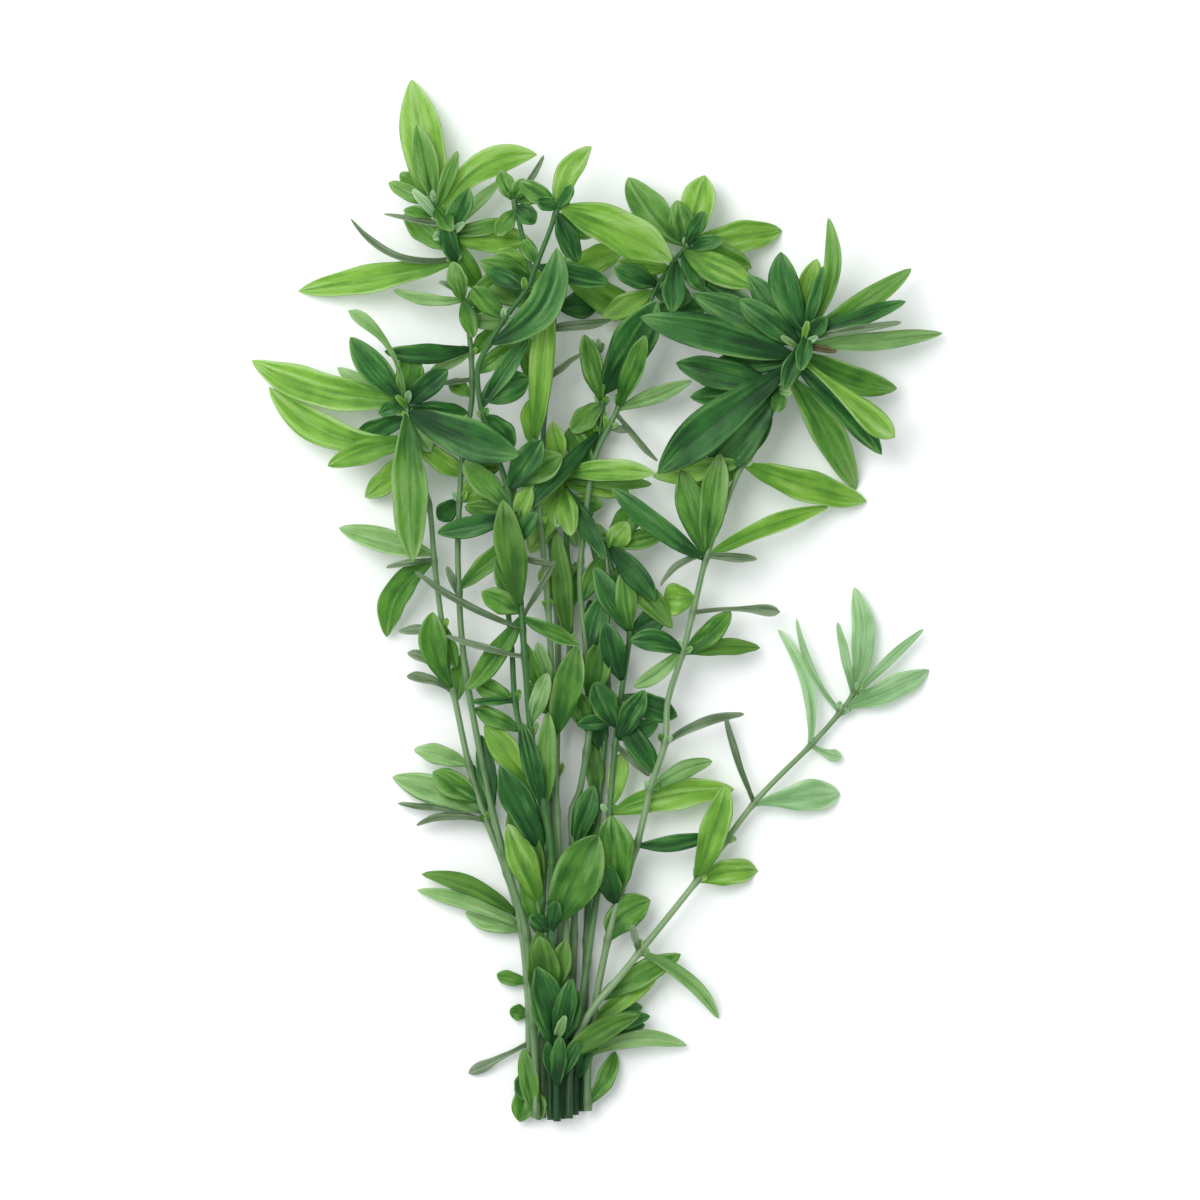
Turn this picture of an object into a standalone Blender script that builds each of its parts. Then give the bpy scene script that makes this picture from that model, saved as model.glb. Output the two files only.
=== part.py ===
"""A bunch of twelve cut hygrophila stems, laid on its side.

Lengths are in metres, +Z is up and the surface it lies on is at zero. The cut ends point to -Y and the
leafy ends to +Y. A stem is a round curve that swells at its joints, and leaves grow from the joints. A leaf
is a thin sheet on a curved midrib, with a wall of its own. The largest leaves are parts of their own, and
the young, small and narrow ones are joined to their stem.
"""

import math
from dataclasses import dataclass

import bmesh
import bpy
import numpy as np
from mathutils.bvhtree import BVHTree

# Driving dimensions, at real size.
MM = 0.001
STEM_RADIUS = 1.1 * MM
TIP_RADIUS = 0.7 * MM
JOINT_SWELL = 0.3 * MM
JOINT_REACH = 3.0 * MM
BARE_JOINT_STEP = 24 * MM
FAR_APART = 18 * MM
LEAF_WALL = 0.5 * MM
STALK_WIDTH = 1.3 * MM
BLUNT_TIP = 0.5 * MM
KEEL_RISE = 0.16
LEAF_ARCH = 0.07
GAP = 0.3 * MM
ROOT_DEPTH = 0.6
WIDE_LEAF = 7 * MM
LONG_LEAF = 33 * MM
FLOOR_CLEARANCE = 0.3 * MM

# How finely a stem's route is sampled, and how near two points of its mesh are one point.
ROUTE_SAMPLES = 12
WELD = 0.02 * MM

# Places are read from the photograph's 1200 px frame, x to the right and y down, where one pixel is a
# quarter of a millimetre. The third number of a place is its height above the surface, in millimetres.
PIXEL = 0.25 * MM
MIDDLE_PX = (598, 600)

# The trial heights of a leaf's tip, above or below the planned one, until the leaf lies clear.
TRIAL_STEP = 0.8 * MM
TRIALS = 22

LOOKS = {
    "dark": (0.020, 0.130, 0.030),
    "green": (0.070, 0.240, 0.040),
    "bright": (0.210, 0.430, 0.060),
    "olive": (0.110, 0.250, 0.040),
    "pale": (0.330, 0.480, 0.230),
    "mint": (0.290, 0.500, 0.320),
    "grey": (0.220, 0.270, 0.190),
    "brown": (0.160, 0.100, 0.040),
}
STEM_COLOUR = (0.100, 0.200, 0.060)

# Each stem's route, from its cut end to its growing tip.
STEMS = {
    "tall": [(536, 1119, 4.0), (535, 1060, 4.4), (532, 1000, 5.4), (526, 930, 7.3), (511, 880, 8.7),
             (490, 800, 9.5), (469, 693, 10.0), (462, 640, 10.0), (459, 592, 10.0), (458, 536, 10.2),
             (463, 450, 10.8), (472, 400, 11.2), (470, 340, 11.6), (463, 300, 12.0), (455, 262, 12.5),
             (442, 225, 13.0), (433, 201, 13.4)],
    "left": [(529, 1117, 1.2), (529, 1060, 1.3), (528, 1000, 2.0), (521, 930, 3.8), (507, 875, 5.0),
             (486, 820, 6.0), (470, 770, 7.0), (455, 700, 8.5), (446, 656, 9.5), (442, 624, 10.3),
             (438, 592, 11.0), (434, 557, 11.5), (430, 510, 12.0), (420, 470, 12.5), (412, 435, 12.8),
             (406, 400, 13.0)],
    "dark": [(557, 1122, 6.7), (556, 1060, 7.0), (554, 1000, 8.0), (551, 930, 9.6), (552, 860, 11.5),
             (545, 810, 13.2), (532, 740, 14.5), (526, 672, 15.5), (523, 632, 15.8), (520, 592, 16.0),
             (516, 560, 16.2), (512, 528, 16.4), (508, 490, 16.6), (495, 450, 17.0), (482, 410, 18.0),
             (478, 370, 19.5), (490, 345, 20.5), (505, 320, 21.5), (527, 291, 22.5), (535, 271, 23.0),
             (543, 251, 23.4), (550, 233, 23.8), (559, 207, 24.2)],
    "bright": [(563, 1120, 4.0), (562, 1060, 4.4), (564, 1000, 5.0), (566, 930, 6.5), (560, 860, 8.2),
               (556, 800, 9.3), (554, 740, 10.0), (552, 680, 10.6), (549, 620, 11.0), (544, 560, 11.6),
               (538, 500, 12.2), (534, 440, 12.8), (538, 380, 13.4), (541, 320, 14.0), (532, 275, 14.6),
               (521, 230, 15.2), (512, 193, 15.8)],
    "upper_right": [(569, 1118, 1.2), (570, 1060, 1.3), (572, 1000, 1.8), (574, 930, 3.3), (575, 870, 4.2),
                    (571, 815, 5.5), (580, 790, 6.0), (588, 740, 6.8), (590, 700, 7.2), (585, 640, 7.8),
                    (580, 580, 8.4), (585, 520, 8.8), (592, 470, 8.7), (600, 445, 8.4), (610, 425, 8.1),
                    (625, 390, 7.8), (645, 320, 8.2), (655, 290, 8.7), (672, 265, 9.6), (688, 244, 10.8)],
    "inner": [(581, 1113, 1.2), (583, 1060, 1.3), (585, 1000, 1.5), (587, 930, 1.8), (590, 880, 3.0),
              (597, 830, 3.4), (601, 780, 3.8), (606, 720, 4.2), (608, 650, 4.4), (604, 600, 4.6),
              (596, 560, 4.8), (588, 520, 5.0), (590, 470, 5.2), (600, 430, 5.4), (603, 385, 5.6),
              (597, 348, 5.8)],
    "right": [(588, 1112, 4.2), (588, 1060, 4.9), (596, 1000, 6.0), (610, 930, 7.5), (618, 900, 8.0),
              (637, 845, 8.8), (650, 790, 9.5), (665, 742, 10.0), (668, 700, 10.4), (683, 652, 11.0),
              (696, 599, 11.6), (707, 555, 12.0), (727, 500, 12.8), (743, 464, 13.4), (765, 429, 14.0),
              (777, 395, 14.6), (788, 377, 15.0), (806, 334, 16.0)],
    "hub": [(575, 1116, 4.0), (576, 1060, 4.3), (582, 1000, 5.2), (592, 930, 5.8), (599, 880, 6.2),
            (608, 830, 6.6), (612, 780, 7.0), (617, 730, 7.3), (622, 690, 7.6), (628, 650, 7.8),
            (630, 622, 8.0), (621, 600, 8.2), (612, 570, 8.4), (607, 540, 8.6)],
    "star": [(542, 1120, 1.2), (542, 1060, 1.3), (544, 1000, 1.8), (550, 930, 3.4), (555, 860, 5.0),
             (552, 800, 5.8), (556, 740, 6.0), (565, 690, 6.1), (570, 640, 6.2), (569, 580, 6.4),
             (565, 520, 6.7), (562, 465, 7.0)],
    "low": [(551, 1121, 4.0), (549, 1060, 4.3), (547, 1000, 5.2), (541, 930, 7.0), (545, 850, 8.8),
            (540, 800, 10.2), (525, 750, 11.0), (515, 700, 11.5), (512, 650, 12.0), (508, 610, 12.3),
            (503, 560, 12.6), (497, 508, 13.0)],
    "back": [(557, 1119, 1.2), (556, 1060, 1.2), (557, 1000, 1.4), (560, 930, 1.8), (559, 860, 2.1),
             (556, 800, 2.6), (557, 740, 3.0), (558, 680, 3.2), (557, 620, 3.4), (552, 560, 3.6),
             (546, 500, 3.8), (543, 440, 4.0), (548, 380, 4.2), (554, 320, 4.4), (566, 265, 4.6)],
    "side": [(569, 1119, 6.7), (571, 1060, 7.2), (583, 1025, 8.8), (597, 1003, 9.8), (617, 980, 9.4),
             (640, 952, 8.2), (698, 880, 6.0), (755, 803, 4.3), (812, 745, 3.2), (843, 710, 2.6),
             (857, 690, 2.4)],
}


@dataclass
class Leaf:
    """One leaf: at is its joint and to its tip, in pixels. high is the tip's height, wide its width and bend
    the sideways swing of its middle, to the left from joint to tip, in millimetres. roll turns it about its
    midrib, in degrees. widest is how far along its length it is widest. own says that it is a part of its
    own."""

    at: tuple
    to: tuple
    high: float
    wide: float
    bend: float = 0
    roll: float = 0
    widest: float = 0.55
    look: str = "green"
    own: bool = False


LEAVES = {
    "tall": [
        Leaf((434, 205), (411, 79), 0.3, 11, widest=0.45, look="bright", own=True),
        Leaf((440, 217), (537, 155), 12, 7.2, bend=5, widest=0.6, look="bright", own=True),
        Leaf((457, 262), (298, 290), 0.3, 7, bend=0.3, widest=0.56, look="bright", own=True),
        Leaf((447, 235), (530, 240), 9, 7.6, look="bright", own=True),
        Leaf((471, 348), (385, 352), 17, 5, bend=1, look="dark", own=True),
        Leaf((455, 258), (351, 218), 9, 2.4, bend=4.6, roll=40, look="grey"),
        Leaf((463, 300), (395, 291), 7, 3, bend=1, look="pale"),
        Leaf((450, 240), (480, 290), 8, 6),
        Leaf((452, 250), (404, 214), 6, 6.4),
        Leaf((434, 203), (417, 125), 12, 6.4),
        Leaf((436, 209), (458, 152), 16, 3.6),
        Leaf((434, 204), (387, 182), 11, 4),
        Leaf((438, 214), (404, 211), 15, 3),
        Leaf((442, 224), (384, 214), 10, 2, roll=45, look="grey"),
        Leaf((447, 236), (470, 190), 20, 5.6, look="dark"),
        Leaf((446, 233), (500, 181), 9, 3, look="pale"),
        Leaf((462, 293), (440, 281), 14, 1.8, roll=45, look="grey"),
        Leaf((468, 322), (508, 320), 9, 5, look="pale"),
        Leaf((471, 355), (430, 372), 9, 3, look="pale"),
        Leaf((472, 378), (441, 384), 8, 2, roll=45, look="grey"),
        Leaf((461, 500), (494, 474), 7, 7, look="bright"),
        Leaf((459, 588), (512, 540), 9, 5),
        Leaf((459, 590), (447, 566), 10, 1.8, look="grey"),
        Leaf((434, 203), (400, 172), 10, 5),
        Leaf((459, 500), (438, 520), 8, 5, look="dark"),
        Leaf((538, 1112), (523, 1050), 3, 5),
    ],
    "left": [
        Leaf((405, 399), (251, 360), 0.3, 9, bend=2.7, look="bright", own=True),
        Leaf((413, 440), (268, 387), 0.3, 7.8, bend=5.4, widest=0.6, look="bright", own=True),
        Leaf((408, 414), (413, 562), 14, 9, look="green", own=True),
        Leaf((434, 560), (386, 638), 3, 7, bend=-3.5, look="green", own=True),
        Leaf((405, 396), (350, 337), 15, 7, bend=0.5, look="dark", own=True),
        Leaf((408, 412), (520, 456), 21, 10, bend=-1, look="dark", own=True),
        Leaf((434, 555), (339, 528), 5, 6.4, look="pale", own=True),
        Leaf((413, 440), (328, 466), 3, 6.2, bend=-0.9, look="bright"),
        Leaf((415, 448), (363, 498), 3, 6, bend=0.8, look="bright"),
        Leaf((406, 402), (448, 370), 16, 6, look="dark"),
        Leaf((452, 686), (433, 612), 12, 7, bend=1.8, widest=0.62),
        Leaf((467, 764), (414, 750), 5, 5, bend=-0.6, look="pale"),
        Leaf((484, 813), (392, 778), 0.3, 7, bend=-0.8, look="pale"),
        Leaf((406, 400), (350, 312), 19, 3.4, bend=-3.6, widest=0.85, look="pale"),
        Leaf((409, 415), (335, 366), 8, 4.6, look="pale"),
        Leaf((409, 416), (352, 440), 10, 5.5, look="dark"),
        Leaf((412, 434), (442, 462), 9, 4.2, look="pale"),
        Leaf((414, 444), (464, 476), 6, 5.4, look="bright"),
        Leaf((434, 562), (386, 567), 9, 2, roll=40, look="grey"),
        Leaf((442, 628), (398, 631), 8, 2.8, roll=35, look="grey"),
        Leaf((451, 684), (407, 653), 7, 3, bend=-1.5, roll=30, widest=0.75, look="grey"),
        Leaf((453, 692), (407, 677), 5, 3, bend=-1, roll=30, widest=0.7, look="grey"),
        Leaf((483, 810), (398, 806), 3, 2.2, roll=35, look="grey"),
        Leaf((486, 818), (415, 825), 4, 2.4, bend=-1.5, roll=35, look="grey"),
        Leaf((515, 918), (421, 875), 3, 4.6, bend=-2.2, look="olive"),
        Leaf((516, 924), (416, 891), 2, 4, bend=-1.2, look="pale"),
        Leaf((517, 930), (465, 914), 1.5, 5.6, look="pale"),
        Leaf((520, 982), (495, 976), 1, 3.6),
        Leaf((522, 1016), (510, 1012), 1, 4),
        Leaf((525, 1044), (468, 1075), 1, 2.8, widest=0.8, look="grey"),
        Leaf((526, 1056), (517, 1118), 0.3, 5, bend=0.6, roll=-15, look="bright"),
        Leaf((406, 400), (412, 352), 15, 7),
        Leaf((482, 800), (432, 772), 4, 7),
    ],
    "dark": [
        Leaf((492, 343), (557, 250), 27, 8.8, bend=-5.4, look="dark", own=True),
        Leaf((558, 210), (672, 262), 17, 10.6, bend=1.2, look="bright", own=True),
        Leaf((506, 482), (562, 456), 14, 8, look="green", own=True),
        Leaf((520, 605), (503, 500), 13, 7.6, look="olive", own=True),
        Leaf((551, 925), (598, 834), 14, 12, look="green", own=True),
        Leaf((558, 208), (592, 148), 18, 6, bend=2, widest=0.5, look="bright"),
        Leaf((556, 216), (578, 264), 21, 5.5, look="dark"),
        Leaf((537, 268), (610, 284), 18, 5.6, look="dark"),
        Leaf((527, 291), (487, 271), 19, 4.6, look="dark"),
        Leaf((482, 408), (527, 338), 17, 4.6, look="dark"),
        Leaf((512, 520), (438, 533), 13, 5.4, look="dark"),
        Leaf((558, 209), (536, 204), 27, 3.6, look="dark"),
        Leaf((558, 209), (573, 188), 27, 3.2, look="dark"),
        Leaf((521, 610), (482, 592), 17, 6),
        Leaf((523, 618), (467, 690), 11, 5.6, bend=0.6),
        Leaf((523, 618), (580, 645), 18, 4),
        Leaf((523, 630), (415, 574), 13, 2.2, bend=1, roll=35, look="grey"),
        Leaf((522, 614), (556, 560), 13, 2, roll=40, look="grey"),
        Leaf((525, 656), (446, 635), 13, 2.2, bend=0.5, roll=40, look="grey"),
        Leaf((514, 544), (504, 514), 19, 3, look="pale"),
        Leaf((514, 544), (537, 512), 19, 4, look="dark"),
        Leaf((516, 556), (556, 564), 15, 2, roll=40, look="grey"),
        Leaf((545, 806), (548, 712), 13, 5),
        Leaf((544, 804), (522, 722), 15, 5, look="dark"),
        Leaf((505, 320), (472, 288), 19, 5.5),
        Leaf((508, 490), (542, 440), 13, 7, look="dark"),
        Leaf((481, 400), (529, 378), 16, 8.4, look="dark"),
        Leaf((484, 415), (514, 446), 15, 6.4, look="dark"),
    ],
    "bright": [
        Leaf((554, 735), (577, 645), 14, 7.6, look="green", own=True),
        Leaf((535, 440), (548, 300), 17, 6.4, look="bright"),
        Leaf((513, 199), (500, 172), 17, 4.4),
        Leaf((514, 203), (545, 157), 17, 1.8, roll=40, look="grey"),
        Leaf((515, 207), (536, 224), 18, 5, look="dark"),
        Leaf((513, 199), (525, 180), 19, 4),
        Leaf((531, 268), (496, 254), 11, 6, look="bright"),
        Leaf((532, 275), (503, 296), 12, 5, look="pale"),
        Leaf((538, 384), (581, 352), 14, 2, roll=40, look="grey"),
        Leaf((541, 328), (612, 321), 12, 2.8, roll=25, look="grey"),
        Leaf((551, 690), (537, 642), 12, 4, look="pale"),
        Leaf((532, 280), (480, 262), 13, 6.4),
        Leaf((553, 715), (530, 682), 11, 5),
    ],
    "star": [
        Leaf((562, 476), (655, 474), 15, 5.6, bend=1, look="bright", own=True),
        Leaf((564, 487), (530, 552), 5, 7.4, look="bright", own=True),
        Leaf((574, 640), (556, 530), 8, 5.6, look="olive"),
        Leaf((564, 486), (606, 560), 8, 4.4, look="dark"),
        Leaf((563, 482), (628, 491), 5, 5, look="bright"),
        Leaf((566, 504), (577, 548), 4, 4, look="pale"),
    ],
    "back": [
        Leaf((564, 274), (641, 318), 3, 8, look="bright", own=True),
        Leaf((565, 269), (622, 249), 4, 7, look="bright"),
        Leaf((560, 292), (500, 264), 3, 6, look="bright"),
        Leaf((547, 395), (520, 330), 3, 6, look="olive"),
        Leaf((556, 600), (548, 560), 4, 6, look="bright"),
    ],
    "upper_right": [
        Leaf((687, 246), (628, 177), 7, 8.6, bend=1.2, look="green", own=True),
        Leaf((688, 245), (705, 174), 6, 8.8, look="bright", own=True),
        Leaf((687, 246), (783, 229), 0.3, 8, look="bright", own=True),
        Leaf((617, 402), (645, 336), 21, 5.4, look="green", own=True),
        Leaf((683, 251), (753, 287), 5, 8, look="bright"),
        Leaf((658, 285), (614, 268), 14, 6, look="dark"),
        Leaf((675, 261), (672, 314), 15, 6, look="dark"),
        Leaf((688, 244), (704, 212), 15, 4, look="dark"),
        Leaf((687, 246), (724, 240), 15, 4, look="dark"),
        Leaf((655, 292), (603, 318), 7, 6, look="bright"),
        Leaf((617, 408), (692, 381), 9, 4, look="pale"),
        Leaf((616, 412), (657, 462), 9, 2, roll=40, look="grey"),
        Leaf((609, 428), (632, 430), 9, 1.8, look="grey"),
        Leaf((683, 252), (706, 292), 12, 6.4, look="dark"),
        Leaf((648, 312), (706, 308), 6, 7, look="dark"),
        Leaf((572, 845), (594, 785), 7, 6, look="dark"),
        Leaf((592, 468), (568, 426), 9, 6),
    ],
    "inner": [
        Leaf((602, 392), (657, 302), 13, 10.4, look="dark", own=True),
        Leaf((598, 432), (521, 514), 16, 4.4, look="dark", own=True),
        Leaf((602, 400), (584, 335), 9, 5.6),
        Leaf((602, 404), (590, 450), 3, 5.4, look="bright"),
    ],
    "right": [
        Leaf((796, 357), (640, 318), 17, 9, look="dark", own=True),
        Leaf((791, 368), (657, 474), 15, 10.4, bend=-0.8, widest=0.6, look="dark", own=True),
        Leaf((801, 346), (693, 278), 9, 6.6, look="dark", own=True),
        Leaf((803, 341), (817, 260), 10, 7.2, bend=0.5, look="bright", own=True),
        Leaf((806, 335), (828, 219), 16, 4.4, bend=-3.4, look="green", own=True),
        Leaf((806, 335), (912, 268), 10, 5.6, bend=-0.9, look="green", own=True),
        Leaf((801, 346), (945, 332), 4, 4.6, bend=-0.6, look="pale", own=True),
        Leaf((798, 353), (897, 388), 5, 7, bend=-1.6, look="green", own=True),
        Leaf((793, 364), (882, 455), 9, 6.4, bend=1.2, look="dark", own=True),
        Leaf((788, 377), (857, 489), 0.3, 8, bend=1, look="green", own=True),
        Leaf((743, 465), (866, 501), 0.3, 8, bend=-0.6, look="bright", own=True),
        Leaf((708, 553), (828, 507), 4, 4.6, bend=1.2, look="bright", own=True),
        Leaf((797, 357), (894, 438), 1, 6.6, widest=0.78, look="bright"),
        Leaf((806, 334), (780, 253), 20, 8, bend=1.5, look="dark"),
        Leaf((806, 334), (904, 303), 15, 4.4, look="dark"),
        Leaf((805, 338), (901, 323), 13, 2, look="grey"),
        Leaf((806, 335), (822, 268), 21, 3, look="dark"),
        Leaf((801, 346), (836, 352), 16, 1.6, look="brown"),
        Leaf((780, 390), (676, 363), 11, 8, look="dark"),
        Leaf((743, 465), (652, 477), 9, 6, look="bright"),
        Leaf((707, 556), (681, 470), 12, 7.4),
        Leaf((706, 558), (611, 487), 16, 5.6, bend=0.8, look="dark"),
        Leaf((708, 554), (757, 559), 9, 2.2, look="grey"),
        Leaf((697, 599), (662, 600), 9, 8, look="bright"),
        Leaf((693, 613), (781, 612), 7, 2.8, bend=0.8, widest=0.85, look="grey"),
        Leaf((684, 650), (730, 611), 9, 5.6, bend=-0.8),
        Leaf((684, 650), (761, 648), 6, 4.2, bend=0.8, look="olive"),
        Leaf((683, 654), (633, 687), 8, 4.2, bend=0.8, look="pale"),
        Leaf((683, 650), (630, 641), 14, 5.8, bend=-1.4, look="dark"),
        Leaf((665, 742), (744, 714), 6, 2.4, bend=1.5, look="grey"),
        Leaf((650, 792), (714, 761), 6, 4.4, bend=1.2, look="pale"),
        Leaf((637, 846), (712, 836), 6, 4.2, bend=-0.6, look="dark"),
        Leaf((608, 942), (651, 901), 6, 8.4, bend=2),
        Leaf((597, 1000), (681, 955), 4, 6.2, bend=0.4),
        Leaf((594, 1015), (644, 1008), 3, 5, look="dark"),
        Leaf((591, 1035), (645, 1026), 2, 5, look="dark"),
        Leaf((586, 1055), (687, 1047), 1, 4.2, bend=3, look="pale"),
        Leaf((588, 1104), (615, 1052), 1, 4.6, bend=-1),
        Leaf((803, 341), (748, 276), 14, 7, look="dark"),
        Leaf((779, 393), (690, 397), 10, 6.4, look="dark"),
        Leaf((777, 398), (708, 480), 11, 9.5, look="dark"),
        Leaf((708, 552), (720, 452), 12, 7),
        Leaf((622, 893), (611, 815), 12, 10),
        Leaf((592, 1022), (658, 974), 4, 5, look="bright"),
    ],
    "hub": [
        Leaf((612, 570), (672, 628), 10, 6, bend=1, look="olive", own=True),
        Leaf((609, 812), (734, 790), 5, 7.6, bend=1.6, look="bright", own=True),
        Leaf((622, 696), (678, 717), 9, 6.6, look="dark", own=True),
        Leaf((608, 544), (667, 534), 8, 5),
        Leaf((629, 630), (623, 571), 10, 5.4),
        Leaf((629, 630), (594, 566), 9, 6, look="dark"),
        Leaf((618, 715), (657, 775), 7, 6, look="dark"),
        Leaf((618, 720), (577, 725), 9, 4.2, look="dark"),
        Leaf((610, 805), (623, 752), 5, 5, look="bright"),
        Leaf((616, 744), (650, 776), 8, 1.8, look="grey"),
        Leaf((630, 632), (668, 610), 9, 6, look="dark"),
        Leaf((616, 738), (645, 690), 9, 6, look="dark"),
        Leaf((608, 548), (655, 601), 9, 6, bend=0.5, look="dark"),
    ],
    "low": [
        Leaf((538, 792), (484, 722), 9, 7, look="bright", own=True),
        Leaf((542, 905), (508, 824), 8, 7.4, look="bright"),
        Leaf((515, 702), (472, 702), 10, 2, look="dark"),
        Leaf((498, 514), (479, 482), 14, 4, look="bright"),
        Leaf((498, 514), (514, 482), 14, 4),
        Leaf((541, 850), (500, 765), 10, 8, look="dark"),
        Leaf((543, 892), (511, 806), 9, 8, look="olive"),
    ],
    "side": [
        Leaf((857, 692), (856, 588), 0.3, 5.8, bend=-2.2, look="mint", own=True),
        Leaf((846, 706), (931, 670), 0.3, 6, bend=-0.5, look="mint", own=True),
        Leaf((812, 746), (779, 630), 1.5, 3.2, bend=-3.2, look="mint", own=True),
        Leaf((757, 801), (840, 795), 0.3, 8, bend=0.6, widest=0.68, look="mint", own=True),
        Leaf((700, 878), (761, 872), 0.3, 6.6, bend=1, look="bright", own=True),
        Leaf((700, 877), (727, 785), 6, 7.2, bend=-0.5, look="bright"),
        Leaf((856, 693), (838, 622), 2, 2.2, look="mint"),
        Leaf((856, 692), (924, 631), 2, 2.4, bend=0.5, look="mint"),
        Leaf((842, 712), (798, 618), 2, 1.8, bend=2.2, roll=25, look="mint"),
        Leaf((812, 746), (842, 757), 1.5, 3, bend=-0.6, widest=0.75, look="mint"),
        Leaf((756, 802), (726, 715), 2, 1.8, bend=0.7, roll=25, look="grey"),
        Leaf((641, 951), (632, 925), 8, 1.6, look="grey"),
        Leaf((640, 952), (719, 1020), 1, 3.6, bend=2.5, look="pale"),
    ],
}


def spot(x, y, height):
    """A place of the plan, in metres."""
    return np.array([(x - MIDDLE_PX[0]) * PIXEL, (MIDDLE_PX[1] - y) * PIXEL, height * MM])


def unit(vectors):
    return vectors / np.linalg.norm(vectors, axis=-1, keepdims=True)


class Stem:
    """A smooth route through its points, with the distance along it at every sample."""

    def __init__(self, route, leaves):
        points = np.array([spot(*place) for place in route])
        ends = (2 * points[0] - points[1], 2 * points[-1] - points[-2])
        points = np.vstack([ends[0], points, ends[1]])
        steps = np.linspace(0, 1, ROUTE_SAMPLES, endpoint=False)[:, None]
        pieces = []
        for a, b, c, d in zip(points, points[1:], points[2:], points[3:]):
            # A Catmull-Rom arc from b to c.
            arc = 2 * b + (c - a) * steps + (2 * a - 5 * b + 4 * c - d) * steps**2
            pieces.append((arc + (3 * b - a - 3 * c + d) * steps**3) / 2)
        self.path = np.vstack(pieces + [points[-2:-1]])
        self.along = np.concatenate([[0], np.cumsum(np.linalg.norm(np.diff(self.path, axis=0), axis=1))])
        self.joints = self.find_joints(leaves)

    def nearest(self, x, y):
        """The distance along the stem of the sample nearest to a pixel."""
        return self.along[np.argmin(np.linalg.norm((self.path - spot(x, y, 0))[:, :2], axis=1))]

    def at(self, distance):
        return np.stack([np.interp(distance, self.along, self.path[:, axis]) for axis in range(3)], axis=-1)

    def heading(self, distance):
        return unit(self.at(distance + JOINT_REACH) - self.at(distance - JOINT_REACH))

    def find_joints(self, leaves):
        """The joints: one where leaves grow, and one every BARE_JOINT_STEP along the bare stem."""
        joints = []
        for place in sorted(self.nearest(*leaf.at) for leaf in leaves):
            if not joints or place - joints[-1] > 2 * JOINT_REACH:
                joints.append(place)
        marks = [0.0] + joints
        for low, high in zip(marks, marks[1:]):
            count = int((high - low) / BARE_JOINT_STEP)
            joints += [low + (high - low) * (k + 1) / (count + 1) for k in range(count)]
        return np.array(sorted(joints))

    def radius(self, distance):
        """The stem tapers from its cut end to its tip, and swells at each joint."""
        taper = STEM_RADIUS + (TIP_RADIUS - STEM_RADIUS) * distance / self.along[-1]
        near = np.abs(np.subtract.outer(distance, self.joints)).min(axis=-1)
        return taper + JOINT_SWELL * np.clip(1 - near / JOINT_REACH, 0, 1)

    def rings(self):
        """The distances at which the solid has a ring: the ends, the joints and halfway where they are far
        apart."""
        marks = np.unique(np.concatenate([[0, self.along[-1]], self.joints]))
        marks = marks[np.concatenate([[True], np.diff(marks) > JOINT_REACH / 2])]
        middles = (marks[1:] + marks[:-1]) / 2
        return np.unique(np.concatenate([marks, middles[np.diff(marks) > FAR_APART]]))


def leaf_surface(leaf, stem, tip_height, t, v):
    """Points of a leaf's middle surface, for t from its joint to its tip and v from side to side, -1 to 1.

    The way along the leaf is u, which is t to a power that makes it widest where t is a half. The midrib is
    the straight line from joint to tip, plus a swing to the side and an arch upwards that are both largest
    halfway. A leaf of its own starts just off its stem, and any other inside it. The blade's width is wide
    times the sine of pi times t, and the widths of the stalk and the blunt tip are added to it as squares.
    The two halves rise from the midrib like a shallow keel, and the whole is turned about the midrib by
    roll. Where it would go below the surface it lies on, it lies on it."""
    joint = stem.nearest(*leaf.at)
    start = stem.at(joint)
    tip = spot(*leaf.to, 0)
    tip[2] = tip_height
    outwards = unit(tip - start - np.dot(tip - start, stem.heading(joint)) * stem.heading(joint))
    radius = stem.radius(np.array([joint]))[0]
    start = start + outwards * (radius + 2 * GAP + STALK_WIDTH / 2 if leaf.own else ROOT_DEPTH * radius)
    chord = tip - start
    length = np.linalg.norm(chord)
    left = unit(np.cross([0, 0, 1.0], chord))
    lift = leaf.bend * MM * left + LEAF_ARCH * length * np.array([0, 0, 1.0])
    t = t[..., None]
    v = v[..., None]
    u = t ** (math.log(leaf.widest) / math.log(0.5))
    midrib = start + chord * u + 4 * u * (1 - u) * lift
    heading = unit(chord + 4 * (1 - 2 * u) * lift)
    flat = unit(np.cross([0, 0, 1.0], heading))
    top = np.cross(heading, flat)
    angle = math.radians(leaf.roll)
    across = flat * math.cos(angle) + top * math.sin(angle)
    facing = top * math.cos(angle) - flat * math.sin(angle)
    blade = leaf.wide * MM * np.sin(np.pi * t)
    half = np.sqrt(blade**2 + STALK_WIDTH**2 * (1 - u) + BLUNT_TIP**2 * u) / 2
    points = midrib + half * (v * across + KEEL_RISE * np.abs(v) * facing)
    points[..., 2] = np.maximum(points[..., 2], FLOOR_CLEARANCE)
    return points


def leaf_grid(leaf):
    """The numbers of faces along and across a leaf's sheet: more for the large leaves."""
    if leaf.own:
        return (4, 2) if math.dist(leaf.at, leaf.to) * PIXEL > LONG_LEAF else (3, 2)
    return (2, 2) if leaf.wide * MM >= WIDE_LEAF else (2, 1)


def sheet_faces(rows, columns):
    """Corner numbers of the two faces and the rim of a sheet of points with a wall."""
    index = np.arange(rows * columns).reshape(rows, columns)
    quads = np.stack([index[:-1, :-1], index[1:, :-1], index[1:, 1:], index[:-1, 1:]], axis=-1).reshape(-1, 4)
    loop = np.concatenate([index[0, :-1], index[:-1, -1], index[-1, :0:-1], index[:0:-1, 0]])
    after = np.roll(loop, -1)
    rim = np.stack([loop, after, after + rows * columns, loop + rows * columns], axis=-1)
    return np.concatenate([quads, quads[:, ::-1] + rows * columns, rim])


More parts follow.
